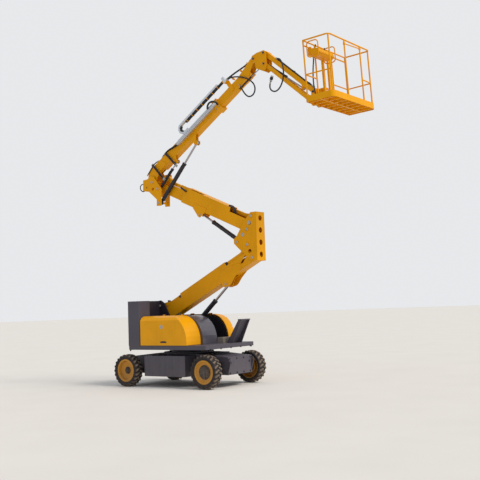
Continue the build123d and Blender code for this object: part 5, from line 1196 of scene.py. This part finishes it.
class LIFT_OT_stage(bpy.types.Operator):
    """Lay the floor, light the sky, hang the key lamp and set the camera"""

    bl_idname = "lift.stage"
    bl_label = "Stage"

    def lay_floor(self, colour):
        material = bpy.data.materials.new("Studio floor")
        material.use_nodes = True
        tree = material.node_tree
        place = add_node(tree, "ShaderNodeTexCoord")["Object"]
        tone = tree.nodes.new("ShaderNodeValToRGB")
        tone.color_ramp.elements[0].color = (*[c * 0.95 for c in colour], 1)
        tone.color_ramp.elements[1].color = (*[min(1, c * 1.04) for c in colour], 1)
        feed(tone, {0: noise_node(tree, place, *FLOOR_NOISE)})
        feed(tree.nodes["Principled BSDF"], {
            "Roughness": 0.9, "Specular IOR Level": 0.1, "Base Color": tone.outputs[0]})
        bm = bmesh.new()
        bmesh.ops.create_circle(bm, cap_ends=True, radius=FLOOR_RADIUS, segments=96)
        mesh = bpy.data.meshes.new("Studio floor")
        bm.to_mesh(mesh)
        bm.free()
        mesh.materials.append(material)
        new_object("Studio_floor", mesh)

    def light(self, scene, studio):
        world = bpy.data.worlds.new("Studio sky")
        scene.world = world
        world.use_nodes = True
        tree = world.node_tree
        back = tree.nodes["Background"]
        feed(back, {"Color": SKY_COLOUR, "Strength": studio.fill})
        seen = add_node(tree, "ShaderNodeBackground", {"Color": (*studio.backdrop, 1), "Strength": 1.0})[0]
        path = add_node(tree, "ShaderNodeLightPath")
        either = math_node(tree, "MAXIMUM", path["Is Camera Ray"], path["Is Glossy Ray"])
        shown = math_node(tree, "MAXIMUM", either, path["Is Transmission Ray"])
        choose = add_node(tree, "ShaderNodeMixShader", {0: shown, 1: back.outputs[0], 2: seen})[0]
        feed(tree.nodes["World Output"], {"Surface": choose})
        lamp = bpy.data.lights.new("Key lamp", "SUN")
        lamp.energy = studio.key
        lamp.angle = KEY_ANGLE
        lamp.color = KEY_COLOUR
        turn = (-KEY_SPOT).to_track_quat("-Z", "Y").to_matrix().to_4x4()
        new_object("Key_lamp", lamp).matrix_world = Matrix.Translation(KEY_SPOT) @ turn

    def set_camera(self, scene, studio):
        eye = bpy.data.cameras.new("Photo camera")
        eye.sensor_fit = "HORIZONTAL"
        eye.sensor_width = SENSOR_WIDTH
        eye.lens = studio.lens
        eye.shift_y = studio.shift
        eye.clip_end = FAR_CLIP
        yaw, pitch, roll = (math.radians(turn) for turn in CAMERA_TURNS)
        look = Vector((-math.sin(yaw) * math.cos(pitch), math.cos(yaw) * math.cos(pitch), math.sin(pitch)))
        right = Vector((math.cos(yaw), math.sin(yaw), 0))
        above = right.cross(look)
        side = right * math.cos(roll) + above * math.sin(roll)
        top = above * math.cos(roll) - right * math.sin(roll)
        rows = zip(side, top, -look, CAMERA_SPOT)
        scene.camera = new_object("Photo_camera", eye)
        scene.camera.matrix_world = Matrix((*rows, (0, 0, 0, 1)))

    def execute(self, context):
        studio = context.scene.lift_studio
        self.lay_floor(studio.floor)
        self.light(context.scene, studio)
        self.set_camera(context.scene, studio)
        context.scene.view_settings.view_transform = "Standard"
        return {"FINISHED"}


class LIFT_PT_panel(bpy.types.Panel):
    """Lists the steps that dress the boom lift, and their settings"""

    bl_label = "Boom lift"
    bl_idname = "LIFT_PT_panel"
    bl_space_type = "VIEW_3D"
    bl_region_type = "UI"
    bl_category = "Boom lift"

    def draw(self, context):
        column = self.layout.column()
        for step in STEPS:
            column.operator(step.bl_idname)
        for group in (context.scene.lift_colours, context.scene.lift_sizes, context.scene.lift_studio):
            for name in group.__annotations__:
                column.prop(group, name)


STEPS = (
    LIFT_OT_stage, LIFT_OT_finishes, LIFT_OT_loops, LIFT_OT_tyres, LIFT_OT_hubs, LIFT_OT_pins, LIFT_OT_hoods,
    LIFT_OT_chain, LIFT_OT_hoses, LIFT_OT_cylinders, LIFT_OT_platform, LIFT_OT_structure,
)
SETTINGS = {"lift_colours": LiftColours, "lift_sizes": LiftSizes, "lift_studio": LiftStudio}
CLASSES = (*SETTINGS.values(), *STEPS, LIFT_PT_panel)


def register():
    for cls in CLASSES:
        bpy.utils.register_class(cls)
    for name, group in SETTINGS.items():
        setattr(bpy.types.Scene, name, PointerProperty(type=group))


def unregister():
    for name in SETTINGS:
        delattr(bpy.types.Scene, name)
    for cls in reversed(CLASSES):
        bpy.utils.unregister_class(cls)


def main():
    register()
    for step in STEPS:
        family, name = step.bl_idname.split(".")
        getattr(getattr(bpy.ops, family), name)()


if __name__ == "__main__":
    main()
